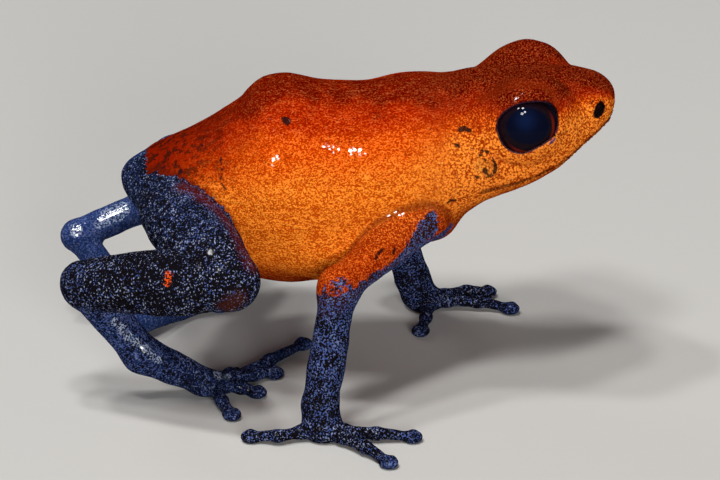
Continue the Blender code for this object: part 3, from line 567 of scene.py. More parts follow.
markings = {
    "rumpBlue": (1.15, 0.5, 10.1),
    "elbow": {"right": (6.93, 0.30, 10.6), "left": (6.20, 0.20, 12.4)},
    # path and width of the blue that runs down the front of each upper arm
    "armBlue": {
        "right": (((13.75, 4.15, 8.95), 0.22), ((13.55, 4.35, 8.35), 0.55), ((12.75, 4.95, 7.55), 0.36),
                  ((11.70, 5.80, 6.90), 0.08), ((10.75, 6.60, 6.45), 0.24)),
        "left": (((13.85, 4.10, 8.90), 0.30), ((13.55, 4.45, 8.20), 0.60), ((13.20, 5.10, 7.30), 0.40),
                 ((12.75, 5.75, 6.60), 0.30), ((12.30, 6.20, 6.10), 0.35)),
    },
    # dark marks: side, radius, path
    "dark": (
        (-1, 0.10, ((14.93, 3.05, 12.51), (15.11, 3.02, 12.60), (15.34, 3.14, 12.55))),
        (-1, 0.080, ((14.76, 3.38, 11.95), (14.85, 3.41, 11.92))),
        (-1, 0.070, ((14.40, 3.68, 9.36), (14.57, 3.68, 9.48), (14.75, 3.68, 9.46))),
        (-1, 0.12, ((16.01, 3.63, 10.85), (16.03, 3.63, 10.81))),
        (-1, 0.080, ((15.78, 3.67, 11.57), (15.86, 3.66, 11.62))),
        (-1, 0.075, ((15.89, 3.64, 11.79), (15.91, 3.64, 11.77))),
        (-1, 0.075, ((16.10, 3.67, 11.75), (16.12, 3.67, 11.74))),
        (-1, 0.075, ((15.72, 3.71, 10.58), (15.62, 3.71, 10.60))),
        (-1, 0.070, ((16.00, 3.71, 11.38), (16.02, 3.71, 11.36))),
        (-1, 0.060, ((15.50, 3.60, 11.85), (15.52, 3.60, 11.83))),
        (-1, 0.075, ((11.55, 5.60, 7.98), (11.35, 5.83, 7.85), (11.22, 5.90, 7.62))),
        (-1, 0.065, ((12.10, 5.30, 7.98), (12.02, 5.50, 7.72))),
        (-1, 0.05, ((4.56, 2.54, 11.42), (4.50, 2.90, 10.95), (4.54, 3.20, 10.60), (4.50, 3.40, 10.20),
                     (4.72, 3.59, 9.95))),
        (-1, 0.13, ((7.26, 2.60, 12.83), (7.44, 2.66, 12.75))),
        (-1, 0.045, ((8.46, 2.97, 12.35), (8.50, 3.00, 12.28))),
        (-1, 0.030, ((10.72, 3.14, 12.07), (10.98, 3.12, 12.12))),
        (-1, 0.09, ((2.75, 2.45, 10.34), (2.68, 2.45, 10.26))),
        (-1, 0.09, ((2.02, 1.95, 10.30), (1.88, 1.85, 10.25))),
        (-1, 0.07, ((3.6, 1.6, 11.2), (3.65, 1.65, 11.2))),
        (-1, 0.05, ((20.70, 1.73, 13.32), (20.76, 1.70, 13.36))),
        (-1, 0.035, ((19.02, 3.66, 12.40), (19.10, 3.60, 12.50), (19.31, 3.40, 12.48), (19.58, 3.13, 12.46))),
        (1, 0.15, ((14.95, 3.05, 12.60), (15.20, 3.12, 12.45))),
        (1, 0.12, ((12.90, 3.75, 11.30), (13.00, 3.75, 11.20))),
        (1, 0.16, ((5.90, 2.60, 12.35), (6.10, 2.60, 12.40))),
        (1, 0.12, ((9.60, 3.80, 10.90), (9.70, 3.80, 10.85))),
        (1, 0.10, ((12.60, 5.10, 8.20), (12.55, 5.35, 7.85))),
        (1, 0.13, ((2.60, 2.40, 10.40), (2.45, 2.35, 10.25))),
    ),
    "darkRidge": 0.10,
    "eyeCorner": (((18.80, 3.83, 12.20), (18.93, 3.74, 12.27), (19.03, 3.66, 12.36)), 0.055),
    # wet spots that catch the light: side, place, radius; on the blue skin they also get a painted highlight
    "wet": ((-1, (6.95, 3.68, 11.50), 0.20), (-1, (6.82, 3.75, 11.36), 0.17), (-1, (6.70, 3.81, 11.17), 0.16),
            (-1, (6.57, 2.29, 12.82), 0.11), (-1, (7.50, 2.71, 12.71), 0.13), (-1, (6.89, 2.89, 12.46), 0.09),
            (-1, (9.05, 3.36, 11.92), 0.17), (-1, (9.30, 3.42, 11.82), 0.20), (-1, (9.55, 3.45, 11.80), 0.15),
            (-1, (10.22, 3.53, 11.70), 0.20), (-1, (10.50, 3.53, 11.66), 0.22), (-1, (10.70, 3.52, 11.66), 0.17),
            (-1, (11.81, 4.24, 9.11), 0.18), (-1, (12.07, 4.23, 9.13), 0.18), (-1, (12.37, 4.27, 9.12), 0.14),
            (-1, (17.25, 3.30, 14.16), 0.16), (-1, (17.43, 3.33, 14.10), 0.18), (-1, (17.62, 3.30, 14.14), 0.16),
            (-1, (16.85, 3.42, 13.85), 0.12), (-1, (-0.18, 5.07, 4.30), 0.17), (-1, (0.11, 5.00, 3.95), 0.20),
            (-1, (0.41, 4.93, 3.55), 0.22), (-1, (0.75, 4.87, 3.20), 0.22), (-1, (1.14, 4.86, 2.85), 0.22),
            (-1, (1.44, 4.80, 2.54), 0.20), (-1, (1.73, 4.65, 2.25), 0.20), (-1, (4.30, 3.40, 0.98), 0.22),
            (-1, (4.70, 3.10, 0.80), 0.18), (-1, (21.10, 1.40, 12.98), 0.16),
            (1, (-1.21, 4.16, 5.11), 0.30), (1, (-0.90, 4.33, 5.30), 0.42),
            (1, (-0.50, 4.48, 5.45), 0.42), (1, (-0.20, 4.60, 5.60), 0.34), (1, (-2.35, 3.90, 4.85), 0.30)),
    "thighEdge": (((2.90, 3.30, 10.00), (3.84, 3.98, 9.66), (4.59, 4.54, 9.19), (5.13, 5.39, 8.75),
                   (5.54, 6.37, 8.33), (5.86, 7.29, 8.02)), 0.36),
    "bareEdge": (((5.43, 3.91, 7.92), (5.64, 3.90, 7.58), (5.81, 3.83, 7.22)), 0.22),
    "kneeBrown": (((5.35, 8.25, 6.75), (5.05, 8.25, 6.55), (4.85, 8.20, 6.35)), 0.42),
    "shankPatch": (((2.32, 7.34, 7.55), (2.30, 7.40, 7.15)), 0.17),
    # how thick the blue flecks lie on each limb part, and how blue the skin under them is: right, left
    "flecks": {"upperArm": (0.85, 0.80), "forearm": (0.74, 0.70), "hand": (0.45, 0.50), "thigh": (0.52, 0.75),
               "shank": (0.26, 0.85), "tarsus": (0.78, 0.90), "foot": (0.55, 0.60)},
    "tides": {"upperArm": (1.05, 0.85), "forearm": (0.30, 0.40), "hand": (0.30, 0.40), "thigh": (0.50, 0.80),
              "shank": (0.10, 1.20), "tarsus": (0.64, 1.20), "foot": (0.58, 0.70)},
}


def fleckAmount(points):
    total = np.zeros((2, len(points)))
    weights = np.zeros(len(points))
    for number, name in enumerate(("right", "left")):
        joint = limbJoints(limbShape[name])
        ends = {"upperArm": ("shoulder", "elbow"), "forearm": ("elbow", "wrist"), "hand": ("wrist", "hand"),
                "thigh": ("hip", "knee"), "shank": ("knee", "heel"), "tarsus": ("heel", "ankle"),
                "foot": ("ankle", "foot")}
        for part, (start, end) in ends.items():
            gap = tubeDistance(points, np.array((joint[start], joint[end])), (1.0, 1.0))
            weight = np.exp(-np.maximum(gap, 0) / 0.25) + 1e-6
            total += weight * np.array([[markings["flecks"][part][number]], [markings["tides"][part][number]]])
            weights += weight
    return total / weights


def paintFields(points, groups):  # masks and signed distances in millimetres, one value for each vertex
    gap = {name: formDistance(form, points) for name, form in groups.items()}
    right = points[:, 1] < 0
    arm = np.minimum(gap["armright"], gap["armleft"])
    leg = np.minimum(gap["legright"], gap["legleft"])
    onLeg = gap["trunk"] - leg
    slope, bend, height = markings["rumpBlue"]
    rump = slope - points[:, 0] + bend * (height - points[:, 2])
    blue = np.maximum(onLeg, rump)
    elbow = np.zeros(len(points))
    for name, side in (("right", -1), ("left", 1)):
        own = right if side < 0 else ~right
        level, slant, middle = markings["elbow"][name]
        below = level - slant * (middle - points[:, 0]) - points[:, 2]
        elbow = np.where(own, below, elbow)
        path = mirrored([spot for spot, _ in markings["armBlue"][name]], side)
        widths = [width for _, width in markings["armBlue"][name]]
        patch = -tubeDistance(points, path, widths)
        onArm = np.minimum(gap["trunk"] - gap["arm" + name] + 0.2, below)
        blue = np.where(own, np.maximum(blue, np.maximum(onArm, patch)), blue)
    sides = np.where(right, -1.0, 1.0)
    outer = points * np.column_stack((np.ones(len(points)), sides, np.ones(len(points))))
    shallow = np.array((1, 0.3, 1))
    dark = np.full(len(points), -far)
    for side, radius, path in markings["dark"]:
        gapTo = tubeDistance(points * shallow, mirrored(path, side) * shallow)
        dark = np.maximum(dark, radius - gapTo)
    ridge = np.array(trunkShape["eardrumRidge"])
    reach = np.interp(np.arange(len(ridge)), (0, 1.5, 4), (0.03, markings["darkRidge"], 0.05))
    dark = np.maximum(dark, -tubeDistance(outer * shallow, ridge * shallow, reach))
    # painted shade: a dark line along the groove of the mouth
    mouth = 0.10 - tubeDistance(points, drawOn(mouthPath(), groups["trunk"]) - (0, 0, 0.10))
    # painted shade: black over and round the opening of each nostril
    nostril = -ovalDistance(outer, trunkShape["nostril"], (0.25, 0.70, 0.38), nostrilTurn())
    edge = np.minimum(np.abs(openingDistance(points, -1)), np.abs(openingDistance(points, 1)))
    socketGap = np.linalg.norm(outer - np.array(eyeShape["centre"]), axis=1) - eyeShape["radius"]
    rows = np.array(trunkShape["sections"])
    top = np.interp(points[:, 0], rows[:, 0], rows[:, 1])
    middle = np.interp(points[:, 0], rows[:, 0], rows[:, 2])
    bottom = np.interp(points[:, 0], rows[:, 0], rows[:, 3])
    height = np.where(points[:, 2] > middle, (points[:, 2] - middle) / np.maximum(top - middle, 0.4),
                      (points[:, 2] - middle) / np.maximum(middle - bottom, 0.4))

    def around(name, side=None, squash=(1, 1, 1)):  # within a mark's width of its path, on both sides or on one
        path, width = markings[name]
        where, path = (outer, np.array(path)) if side is None else (points, mirrored(path, side))
        return width - tubeDistance(where * squash, path * squash)

    head = np.clip((points[:, 0] - 12.6) / 2.4, 0, 1) * (gap["trunk"] < 0.4)
    wet = np.max([radius - np.linalg.norm((points - mirrored(spot, side)) * (1, 0.6, 1), axis=1)
                  for side, spot, radius in markings["wet"]], axis=0)
    folds = np.zeros(len(points))
    for path, width, depth in trunkShape["folds"]:
        path = curveThrough(path, 4)
        reach = tubeDistance(outer * shallow, path * shallow)
        folds = np.maximum(folds, np.exp(-(reach / width) ** 2) * depth)
    fleck, tide = fleckAmount(points)
    fade = np.clip((points[:, 0] - 0.6) / 2.4, 0, 1)  # the rump itself has few flecks
    fleck = fleck * np.where(points[:, 2] > 8.2, 0.4 + 0.6 * fade, 1)
    tide = np.where(points[:, 2] > 8.2, np.maximum(tide, 0.62 - 0.62 * fade), tide)
    return {
        "blueEdge": blue, "height": height, "darkMark": dark, "mouthShadeLine": mouth, "nostrilShade": nostril,
        "lidEdge": 0.085 - np.maximum(edge - 0.02, np.maximum(socketGap - 0.08, 0)), "purple": around("thighEdge"),
        "brown": around("kneeBrown"), "redPatch": around("shankPatch", -1), "head": head, "folds": folds,
        "bare": around("bareEdge", -1), "eyeCorner": around("eyeCorner", -1, shallow),
        "arm": np.clip((gap["trunk"] - arm + 0.3) / 0.6, 0, 1) * np.clip((1.2 - arm) / 0.6, 0, 1),
        "flecks": fleck, "rear": np.clip((6.8 - points[:, 0]) / 5, 0, 1) * np.clip(height * 2, 0, 1),
        "eardrum": 0.42 - np.linalg.norm((outer - np.array(trunkShape["eardrum"])) * shallow, axis=1),
        "creaseShade": 0.4 - np.maximum(gap["trunk"], np.minimum(arm, leg)), "wet": wet, "tide": tide,
        "elbow": elbow,
    }


def addRelief(points, normals, fields):
    onLimb = np.maximum(fields["arm"], np.clip(fields["blueEdge"] / 0.3, 0, 1))
    trunkPart = (1 - onLimb) * (1 - fields["head"])
    stretched = points * np.array(relief["flankStretch"])
    rise = np.zeros(len(points))
    for part, layers, place in ((trunkPart, relief["trunk"], stretched), (fields["head"], relief["head"], points),
                                (onLimb, relief["limbs"], points)):
        for number, (size, height) in enumerate(layers):
            rise += part * height * latticeNoise(place, size, 11 + number)
    away = np.clip((points[:, 2] - 0.3) / 0.5, 0, 1) * np.clip(-fields["lidEdge"] / 0.3, 0, 1)
    away *= np.clip(-fields["wet"] / 0.3, 0, 1)
    return points + normals * (rise * away - fields["folds"])[:, None]


def buildSkin():
    whole, groups = nestedForm()
    low, high = formBox(whole)
    low = np.maximum(low, (-9, -13, -0.4)) - skinMesh["margin"]
    vertices, faces = meshSurface(lambda points: formDistance(whole, points), low, high + skinMesh["margin"],
                                  skinMesh["cell"])
    vertices, faces = largestSurface(vertices, faces)
    print("skin meshed:", len(vertices), "points", len(faces), "quads")
    mesh = bpy.data.meshes.new("skin")
    mesh.from_pydata(vertices.tolist(), [], faces.tolist())
    work = bmesh.new()
    work.from_mesh(mesh)
    fineFrom, fineAbove = skinMesh["fineHead"]
    halveFaces(work, whole, lambda middles: ((middles[:, 0] > fineFrom) & (middles[:, 2] > fineAbove))
               | (middles[:, 2] < skinMesh["fineFeet"]))
    lips = drawOn(mouthPath(), groups["trunk"])

    def nearDetail(middles):
        outer = middles * np.column_stack((np.ones(len(middles)), np.sign(middles[:, 1]), np.ones(len(middles))))
        edge = np.minimum(np.abs(openingDistance(middles, -1)), np.abs(openingDistance(middles, 1)))
        ball = np.linalg.norm(outer - np.array(eyeShape["centre"]), axis=1) - eyeShape["radius"]
        lid = np.maximum(edge, np.abs(ball))
        lip = tubeDistance(middles, lips)
        nose = ovalDistance(outer, trunkShape["nostril"], (0.3, 0.4, 0.4))
        return np.minimum(np.minimum(lid, lip), nose) < skinMesh["finest"]

    halveFaces(work, whole, nearDetail)
    vertices = drawOn(pointsAndLinks(work)[0], whole, 2)
    step = 0.01
    value = formDistance(whole, vertices)
    normals = np.column_stack([formDistance(whole, vertices + step * np.eye(3)[i]) - value for i in range(3)])
    normals /= np.maximum(np.linalg.norm(normals, axis=1), 1e-9)[:, None]
    fields = paintFields(vertices, groups)
    vertices = addRelief(vertices, normals, fields)
    vertices[:, 2] = np.maximum(vertices[:, 2], 0)
    for vertex, place in zip(work.verts, (vertices + shift) * mm):
        vertex.co = place
    work.to_mesh(mesh)
    work.free()
    mesh.shade_smooth()
    for name, values in fields.items():
        layer = mesh.attributes.new(name, "FLOAT", "POINT")
        layer.data.foreach_set("value", values.astype(np.float32))
    print("skin:", len(mesh.vertices), "points", sum(len(face.vertices) - 2 for face in mesh.polygons), "triangles")
    return addObject("skin", mesh)


def addObject(name, mesh):
    thing = bpy.data.objects.new(name, mesh)
    bpy.context.scene.collection.objects.link(thing)
    return thing


# Materials
def put(tree, socket, value):
    if isinstance(value, bpy.types.NodeSocket):
        tree.links.new(value, socket)
    else:
        socket.default_value = value


def setInputs(node, values):
    for name, value in values.items():
        node.inputs[name].default_value = value


def mathNode(tree, operation, first, second=0.5, third=0.0, clamp=False):
    node = tree.nodes.new("ShaderNodeMath")
    node.operation = operation
    node.use_clamp = clamp
    put(tree, node.inputs[0], first)
    put(tree, node.inputs[1], second)
    put(tree, node.inputs[2], third)
    return node.outputs[0]


def mixColour(tree, amount, first, second, blend="MIX"):
    node = tree.nodes.new("ShaderNodeMix")
    node.data_type = "RGBA"
    node.blend_type = blend
    put(tree, node.inputs["Factor"], amount)
    put(tree, node.inputs[6], first)  # the colour sockets A, B and Result
    put(tree, node.inputs[7], second)
    return node.outputs[2]


def spread(tree, value, low, high, toLow=0.0, toHigh=1.0):
    node = tree.nodes.new("ShaderNodeMapRange")
    node.interpolation_type = "SMOOTHSTEP"
    put(tree, node.inputs["Value"], value)
    put(tree, node.inputs["From Min"], low)
    put(tree, node.inputs["From Max"], high)
    put(tree, node.inputs["To Min"], toLow)
    put(tree, node.inputs["To Max"], toHigh)
    return node.outputs["Result"]


def noise(tree, place, size, detail=2.0, roughness=0.5, distortion=0.0):
    node = tree.nodes.new("ShaderNodeTexNoise")
    put(tree, node.inputs["Vector"], place)
    setInputs(node, {"Scale": 1 / size, "Detail": detail, "Roughness": roughness, "Distortion": distortion})
    return node.outputs["Fac"]


def cells(tree, place, size, feature="F1"):
    node = tree.nodes.new("ShaderNodeTexVoronoi")
    node.feature = feature
    put(tree, node.inputs["Vector"], place)
    node.inputs["Scale"].default_value = 1 / size
    if feature == "SMOOTH_F1":
        node.inputs["Smoothness"].default_value = 0.4
    return node.outputs["Distance"]


def field(tree, name):
    node = tree.nodes.new("ShaderNodeAttribute")
    node.attribute_name = name
    return node.outputs["Fac"]


def millimetres(tree, stretch=(1, 1, 1)):
    where = tree.nodes.new("ShaderNodeTexCoord")
    scale = tree.nodes.new("ShaderNodeMapping")
    scale.inputs["Scale"].default_value = [1000 * factor for factor in stretch]
    tree.links.new(where.outputs["Object"], scale.inputs["Vector"])
    return scale.outputs["Vector"]


def newMaterial(name):
    material = bpy.data.materials.new(name)
    material.use_nodes = True
    tree = material.node_tree
    return material, tree, tree.nodes["Principled BSDF"]


def newGroup(name, inputs, outputs):
    group = bpy.data.node_groups.new(name, "ShaderNodeTree")
    for label, kind in inputs:
        group.interface.new_socket(label, in_out="INPUT", socket_type=kind)
    for label, kind in outputs:
        group.interface.new_socket(label, in_out="OUTPUT", socket_type=kind)
    return group, group.nodes.new("NodeGroupInput").outputs, group.nodes.new("NodeGroupOutput").inputs


def useGroup(tree, group, **values):
    node = tree.nodes.new("ShaderNodeGroup")
    node.node_tree = group
    for label, value in values.items():
        put(tree, node.inputs[label], value)
    return node.outputs


def speckleGroup():  # small dots round scattered points: place, spacing, and reach as a share of the spacing
    group, source, result = newGroup("speckles", (("Place", "NodeSocketVector"), ("Spacing", "NodeSocketFloat"),
                                                  ("Reach", "NodeSocketFloat")), (("Mask", "NodeSocketFloat"),))
    wobble = group.nodes.new("ShaderNodeTexNoise")
    put(group, wobble.inputs["Vector"], source["Place"])
    wobble.inputs["Scale"].default_value = 9
    wobble.inputs["Detail"].default_value = 1
    dots = group.nodes.new("ShaderNodeTexVoronoi")
    put(group, dots.inputs["Vector"], source["Place"])
    put(group, dots.inputs["Scale"], mathNode(group, "DIVIDE", 1.0, source["Spacing"]))
    uneven = mathNode(group, "MULTIPLY_ADD", wobble.outputs["Fac"], 0.34, dots.outputs["Distance"])
    gap = mathNode(group, "SUBTRACT", mathNode(group, "ADD", source["Reach"], 0.17), uneven)
    put(group, result["Mask"], spread(group, gap, -0.05, 0.05))
    return group


def raggedGroup():  # a clean signed distance turned into a frayed edge
    group, source, result = newGroup("raggedEdge", (("Place", "NodeSocketVector"), ("Field", "NodeSocketFloat"),
                                                    ("Fray", "NodeSocketFloat"), ("Soft", "NodeSocketFloat")),
                                     (("Mask", "NodeSocketFloat"),))
    torn = mathNode(group, "SUBTRACT", noise(group, source["Place"], 0.26, 3, 0.68), 0.5)
    value = mathNode(group, "MULTIPLY_ADD", torn, source["Fray"], source["Field"])
    negative = mathNode(group, "MULTIPLY", source["Soft"], -1.0)
    put(group, result["Mask"], spread(group, value, negative, source["Soft"]))
    return group


speckles = speckleGroup()
raggedEdge = raggedGroup()

skinLook = {
    "flank": (0.98, 0.262, 0.018, 1),
    "flankDeep": (0.86, 0.125, 0.005, 1),
    "shoulderRed": (0.56, 0.036, 0.001, 1),
    # the back's own deeper red, darkened further with painted shade
    "back": (0.235, 0.009, 0.0006, 1),
    # painted shade: the underside darkened as if little light reached it
    "belly": (0.26, 0.020, 0.002, 1),
    "headTint": (1.0, 0.275, 0.028, 1),
    "pore": (0.10, 0.008, 0.002, 1),
    # painted shade in the creases where arms and legs meet the trunk
    "creaseShade": (0.12, 0.008, 0.002, 1),
    # painted shade in the folds over and under the eye and along the upper arm
    "fold": (0.22, 0.018, 0.002, 1),
    "scorched": (0.030, 0.006, 0.003, 1),
    "eardrum": (0.72, 0.30, 0.045, 1),
    "blueBlack": (0.0055, 0.0045, 0.0060, 1),
    "fleck": (0.055, 0.085, 0.25, 1),
    "paleFleck": (0.34, 0.38, 0.54, 1),
    # dark of the skin's marks, also used as painted shade in the nostrils
    "mark": (0.013, 0.006, 0.006, 1),
    "purple": (0.080, 0.009, 0.008, 1),
    "bareEdge": (0.40, 0.090, 0.030, 1),
    "brown": (0.06, 0.014, 0.008, 1),
    "redPatch": (0.75, 0.075, 0.005, 1),
    # painted shade along the mouth
    "lip": (0.035, 0.004, 0.002, 1),
    "lidRim": (0.014, 0.012, 0.030, 1),
    "cornerBlue": (0.030, 0.040, 0.17, 1),
    "granular": (0.52, 0.25, 0.15, 1),
    "granularHead": (0.34, 0.125, 0.05, 1),
    "granuleLight": (0.36, 0.045, 0.010, 1),
    "grainLight": (1.0, 0.45, 0.12, 1),
    "halo": (0.85, 0.30, 0.11, 1),
    "deepBlue": (0.016, 0.036, 0.125, 1),
    "elbowBrown": (0.030, 0.008, 0.005, 1),
    # painted highlight: the pale gleam of wet spots on the blue skin
    "paintedWetGlint": (0.36, 0.42, 0.56, 1),
}


skinPattern = {
    # sizes and spacings in millimetres
    "patches": 1.3, "grain": 0.070, "ripple": 0.24, "coarse": 0.9, "granules": 0.108, "pores": 0.25, "scorched": 0.34,
    "mottles": 0.55, "worms": 0.078, "specks": 0.150, "pale": 0.20, "tide": 0.20, "drops": 0.20, "film": 0.35,
    "domes": 0.15,
    # where each belt of colour starts and is full, as a share of the way up to the back or down to the belly; the
    # back's belt is its deeper red with painted shade, the belly's belt is painted shade
    "belts": (("shoulderRed", 0.62, 0.86), ("back", 0.84, 1.00), ("belly", -0.42, -0.88)),
    # stored mark, how frayed, how soft and how strong it is, and its colour; the mouth line and the nostrils' black
    # are painted shade
    "marks": (("darkMark", 0.14, 0.035, 0.93, "mark"), ("mouthShadeLine", 0.05, 0.04, 0.75, "lip"),
              ("nostrilShade", 0.14, 0.04, 1.0, "mark"), ("lidEdge", 0.01, 0.035, 0.92, "lidRim"),
              ("eyeCorner", 0.06, 0.03, 0.95, "cornerBlue")),
    "bumpHeight": 0.06, "bumpStrength": 0.9,
}


def boundTo(tree):  # the calls that a material makes most, bound to its own nodes
    return (partial(mathNode, tree), partial(mathNode, tree, "MULTIPLY"), partial(mathNode, tree, "MULTIPLY_ADD"),
            partial(mixColour, tree), partial(spread, tree), partial(noise, tree))


def skinMaterial():
    material, tree, shader = newMaterial("frogSkin")
    calculate, times, timesPlus, mix, ease, cloud = boundTo(tree)
    stored = partial(field, tree)
    size = skinPattern
    place = millimetres(tree)
    head, arm = stored("head"), stored("arm")
    dotted = calculate("MAXIMUM", head, arm)

    def ragged(name, fray, soft):
        return useGroup(tree, raggedEdge, Place=place, Field=stored(name), Fray=fray, Soft=soft)["Mask"]

    def over(amount, below, name):  # one of the skin's colours laid over what is below
        return mix(amount, below, skinLook[name])

    # orange flanks, darker above, deep red on the back with painted shade on it and along the belly
    uneven = calculate("SUBTRACT", cloud(place, size["patches"], 3), 0.5)
    height = timesPlus(uneven, 0.34, stored("height"))
    orange = over(ease(height, 0.18, 0.66), skinLook["flank"], "flankDeep")
    orange = over(times(dotted, ease(height, 0.80, 0.40)), orange, "headTint")
    for name, low, high in size["belts"]:
        orange = over(ease(height, low, high), orange, name)
    orange = over(times(arm, ease(stored("blueEdge"), -0.40, 0.0, 0.0, 0.28)), orange, "halo")

    # the fine pattern: rippled along the flanks, light granules in a dark net on head and arms
    grain = cloud(millimetres(tree, (0.80, 1.0, 1.10)), size["grain"], 2.0, 0.6)
    ripple = cloud(millimetres(tree, relief["flankStretch"]), size["ripple"], 2.0, 0.55, 0.6)
    flank = timesPlus(ripple, 0.32, grain)
    granule = cells(tree, place, size["granules"])
    lit = calculate("ADD", timesPlus(cloud(place, size["coarse"], 2), 0.30, 0.33), ease(height, 0.9, 0.3, -0.12, 0.04))
    lit = timesPlus(arm, -0.17, lit)
    net = ease(granule, calculate("SUBTRACT", lit, 0.10), calculate("ADD", lit, 0.08))
    fine = ease(cloud(place, size["grain"], 1.0, 0.5), 0.60, 0.44)
    net = times(net, ease(fine, 0.0, 0.6, 0.45, 1.0))
    orange = over(times(arm, ease(stored("elbow"), -2.6, -0.2, 0.0, 0.75)), orange, "shoulderRed")
    between = mix(dotted, ease(flank, 0.725, 0.600), net)
    shade = over(dotted, skinLook["granular"], "granularHead")
    granules = over(times(dotted, ease(height, 0.60, 0.90, 0.0, 0.70)), orange, "granuleLight")
    granules = over(ease(flank, 0.70, 0.82, 0.0, 0.16), granules, "grainLight")
    orange = mix(between, granules, mix(1.0, orange, shade, "MULTIPLY"))
    pores = useGroup(tree, speckles, Place=place, Spacing=size["pores"], Reach=0.14)["Mask"]
    orange = over(times(pores, ease(height, -0.1, 0.5, 0.15, 0.75)), orange, "pore")
    rear = stored("rear")
    # more of the back's red and painted shade towards the rump
    orange = over(times(rear, ease(height, 0.25, 0.65)), orange, "back")
    burnt = ease(cloud(place, size["scorched"], 3, 0.7), 0.50, 0.57)
    orange = over(times(burnt, ease(rear, 0, 1, 0, 0.85)), orange, "scorched")
    orange = over(times(ragged("eardrum", 0.5, 0.16), ease(granule, 0.62, 0.45, 0.10, 0.55)), orange, "eardrum")
    # painted shade darkening the folds
    orange = over(ease(stored("folds"), 0.02, 0.07, 0, 0.50), orange, "fold")
    # painted shade where arms and legs meet the trunk
    orange = over(ease(stored("creaseShade"), 0.05, 0.40, 0, 0.9), orange, "creaseShade")

    # blue-black, blue in places, with fine worm-like flecks and sparse pale ones
    flecks = stored("flecks")
    mottled = calculate("SUBTRACT", cloud(place, size["mottles"], 3, 0.6), 0.5)
    worms = cloud(place, size["worms"], 1.0, 0.5)
    limit = timesPlus(flecks, -0.22, timesPlus(mottled, -0.30, 0.690))
    fleckMask = ease(worms, limit, calculate("ADD", limit, 0.045))
    specks = useGroup(tree, speckles, Place=millimetres(tree, (1.25, 1.0, 0.85)), Spacing=size["specks"],
                      Reach=timesPlus(mottled, 0.42, 0.20))["Mask"]
    sparse = ease(flecks, 0.62, 0.42)
    pale = times(ease(cloud(place, size["pale"], 1), 0.50, 0.68), timesPlus(sparse, 0.75, 0.25))
    fleckColour = over(pale, skinLook["fleck"], "paleFleck")
    tide = timesPlus(cloud(place, size["tide"], 3, 0.75), 1.5, calculate("SUBTRACT", stored("tide"), 1.40))
    dusky = over(ease(tide, -0.22, 0.30), skinLook["blueBlack"], "deepBlue")
    purple = ragged("purple", 0.6, 0.34)
    bare = ragged("bare", 0.25, 0.12)
    brown = times(ragged("brown", 0.5, 0.30), 0.7)
    elbow = times(arm, ease(stored("elbow"), 1.3, 0.2))
    for amount, name in ((purple, "purple"), (bare, "bareEdge"), (brown, "brown"), (elbow, "elbowBrown")):
        dusky = over(amount, dusky, name)
    plain = calculate("MAXIMUM", times(purple, 0.45), calculate("MAXIMUM", bare, brown))
    kept = calculate("SUBTRACT", 1.0, times(plain, 0.9))
    blue = mix(times(fleckMask, kept), dusky, fleckColour)
    blue = over(times(times(specks, kept), timesPlus(sparse, 0.60, 0.12)), blue, "paleFleck")
    # painted highlight: pale glints painted onto the blue skin at the wet spots
    blue = over(times(ragged("wet", 0.45, 0.05), ease(worms, 0.44, 0.58, 0.0, 0.85)), blue, "paintedWetGlint")
    blue = over(times(ragged("redPatch", 0.5, 0.06), ease(worms, 0.46, 0.53)), blue, "redPatch")

    blueMask = ragged("blueEdge", 0.7, 0.04)
    colour = mix(blueMask, orange, blue)
    for name, fray, soft, amount, tint in size["marks"]:
        colour = over(times(ragged(name, fray, soft), amount), colour, tint)
    put(tree, shader.inputs["Base Color"], colour)

    # finely grained, wet in a few spots where drops stand on the granules
    reach = timesPlus(stored("wet"), 1.6, 0.32)
    drops = ease(calculate("SUBTRACT", reach, cells(tree, place, size["drops"])), -0.05, 0.05)
    wet = times(drops, ragged("wet", 0.30, 0.03))
    film = times(ease(cloud(place, size["film"], 2), 0.54, 0.68), times(blueMask, 0.30))
    put(tree, shader.inputs["Roughness"], timesPlus(blueMask, -0.10, 0.56))
    put(tree, shader.inputs["Coat Weight"], calculate("MAXIMUM", film, wet))
    setInputs(shader, {"Coat Roughness": 0.12, "Coat IOR": 1.50, "Specular IOR Level": 0.0, "Subsurface Weight": 0.08,
                       "Subsurface Radius": (1.0, 0.30, 0.12), "Subsurface Scale": 0.0003})
    domes = ease(cells(tree, place, size["domes"], "SMOOTH_F1"), 0.0, 0.6, 1.0, 0.0)
    heights = timesPlus(domes, 0.6, times(grain, 0.9))
    heights = timesPlus(ripple, timesPlus(dotted, -0.9, 0.9), heights)
    heights = times(heights, timesPlus(ragged("wet", 0.30, 0.10), -0.88, 1.0))
    bump = tree.nodes.new("ShaderNodeBump")
    setInputs(bump, {"Strength": size["bumpStrength"], "Distance": size["bumpHeight"] * mm})
    put(tree, bump.inputs["Height"], heights)
    put(tree, shader.inputs["Normal"], bump.outputs["Normal"])
    return material


# The eyes
eyeLook = {
    "pupil": (0.002, 0.003, 0.012, 1),
    "iris": (0.010, 0.004, 0.005, 1),
    "irisRing": (0.15, 0.012, 0.006, 1),
    # painted reflection: a dim bluish glow in the pupil beneath the catchlights
    "paintedGlow": (0.003, 0.008, 0.034, 1),
    "white": (0.012, 0.012, 0.028, 1),
    "membrane": (0.035, 0.050, 0.22, 1),
    "pupilRadii": (0.95, 0.80), "pupilShift": 0.05,
    "paintedGlowAt": (-0.10, 0.22),
    "streaks": 0.10,
    "ringAt": 1.13,
    "membraneAt": (1.10, -0.78),
}


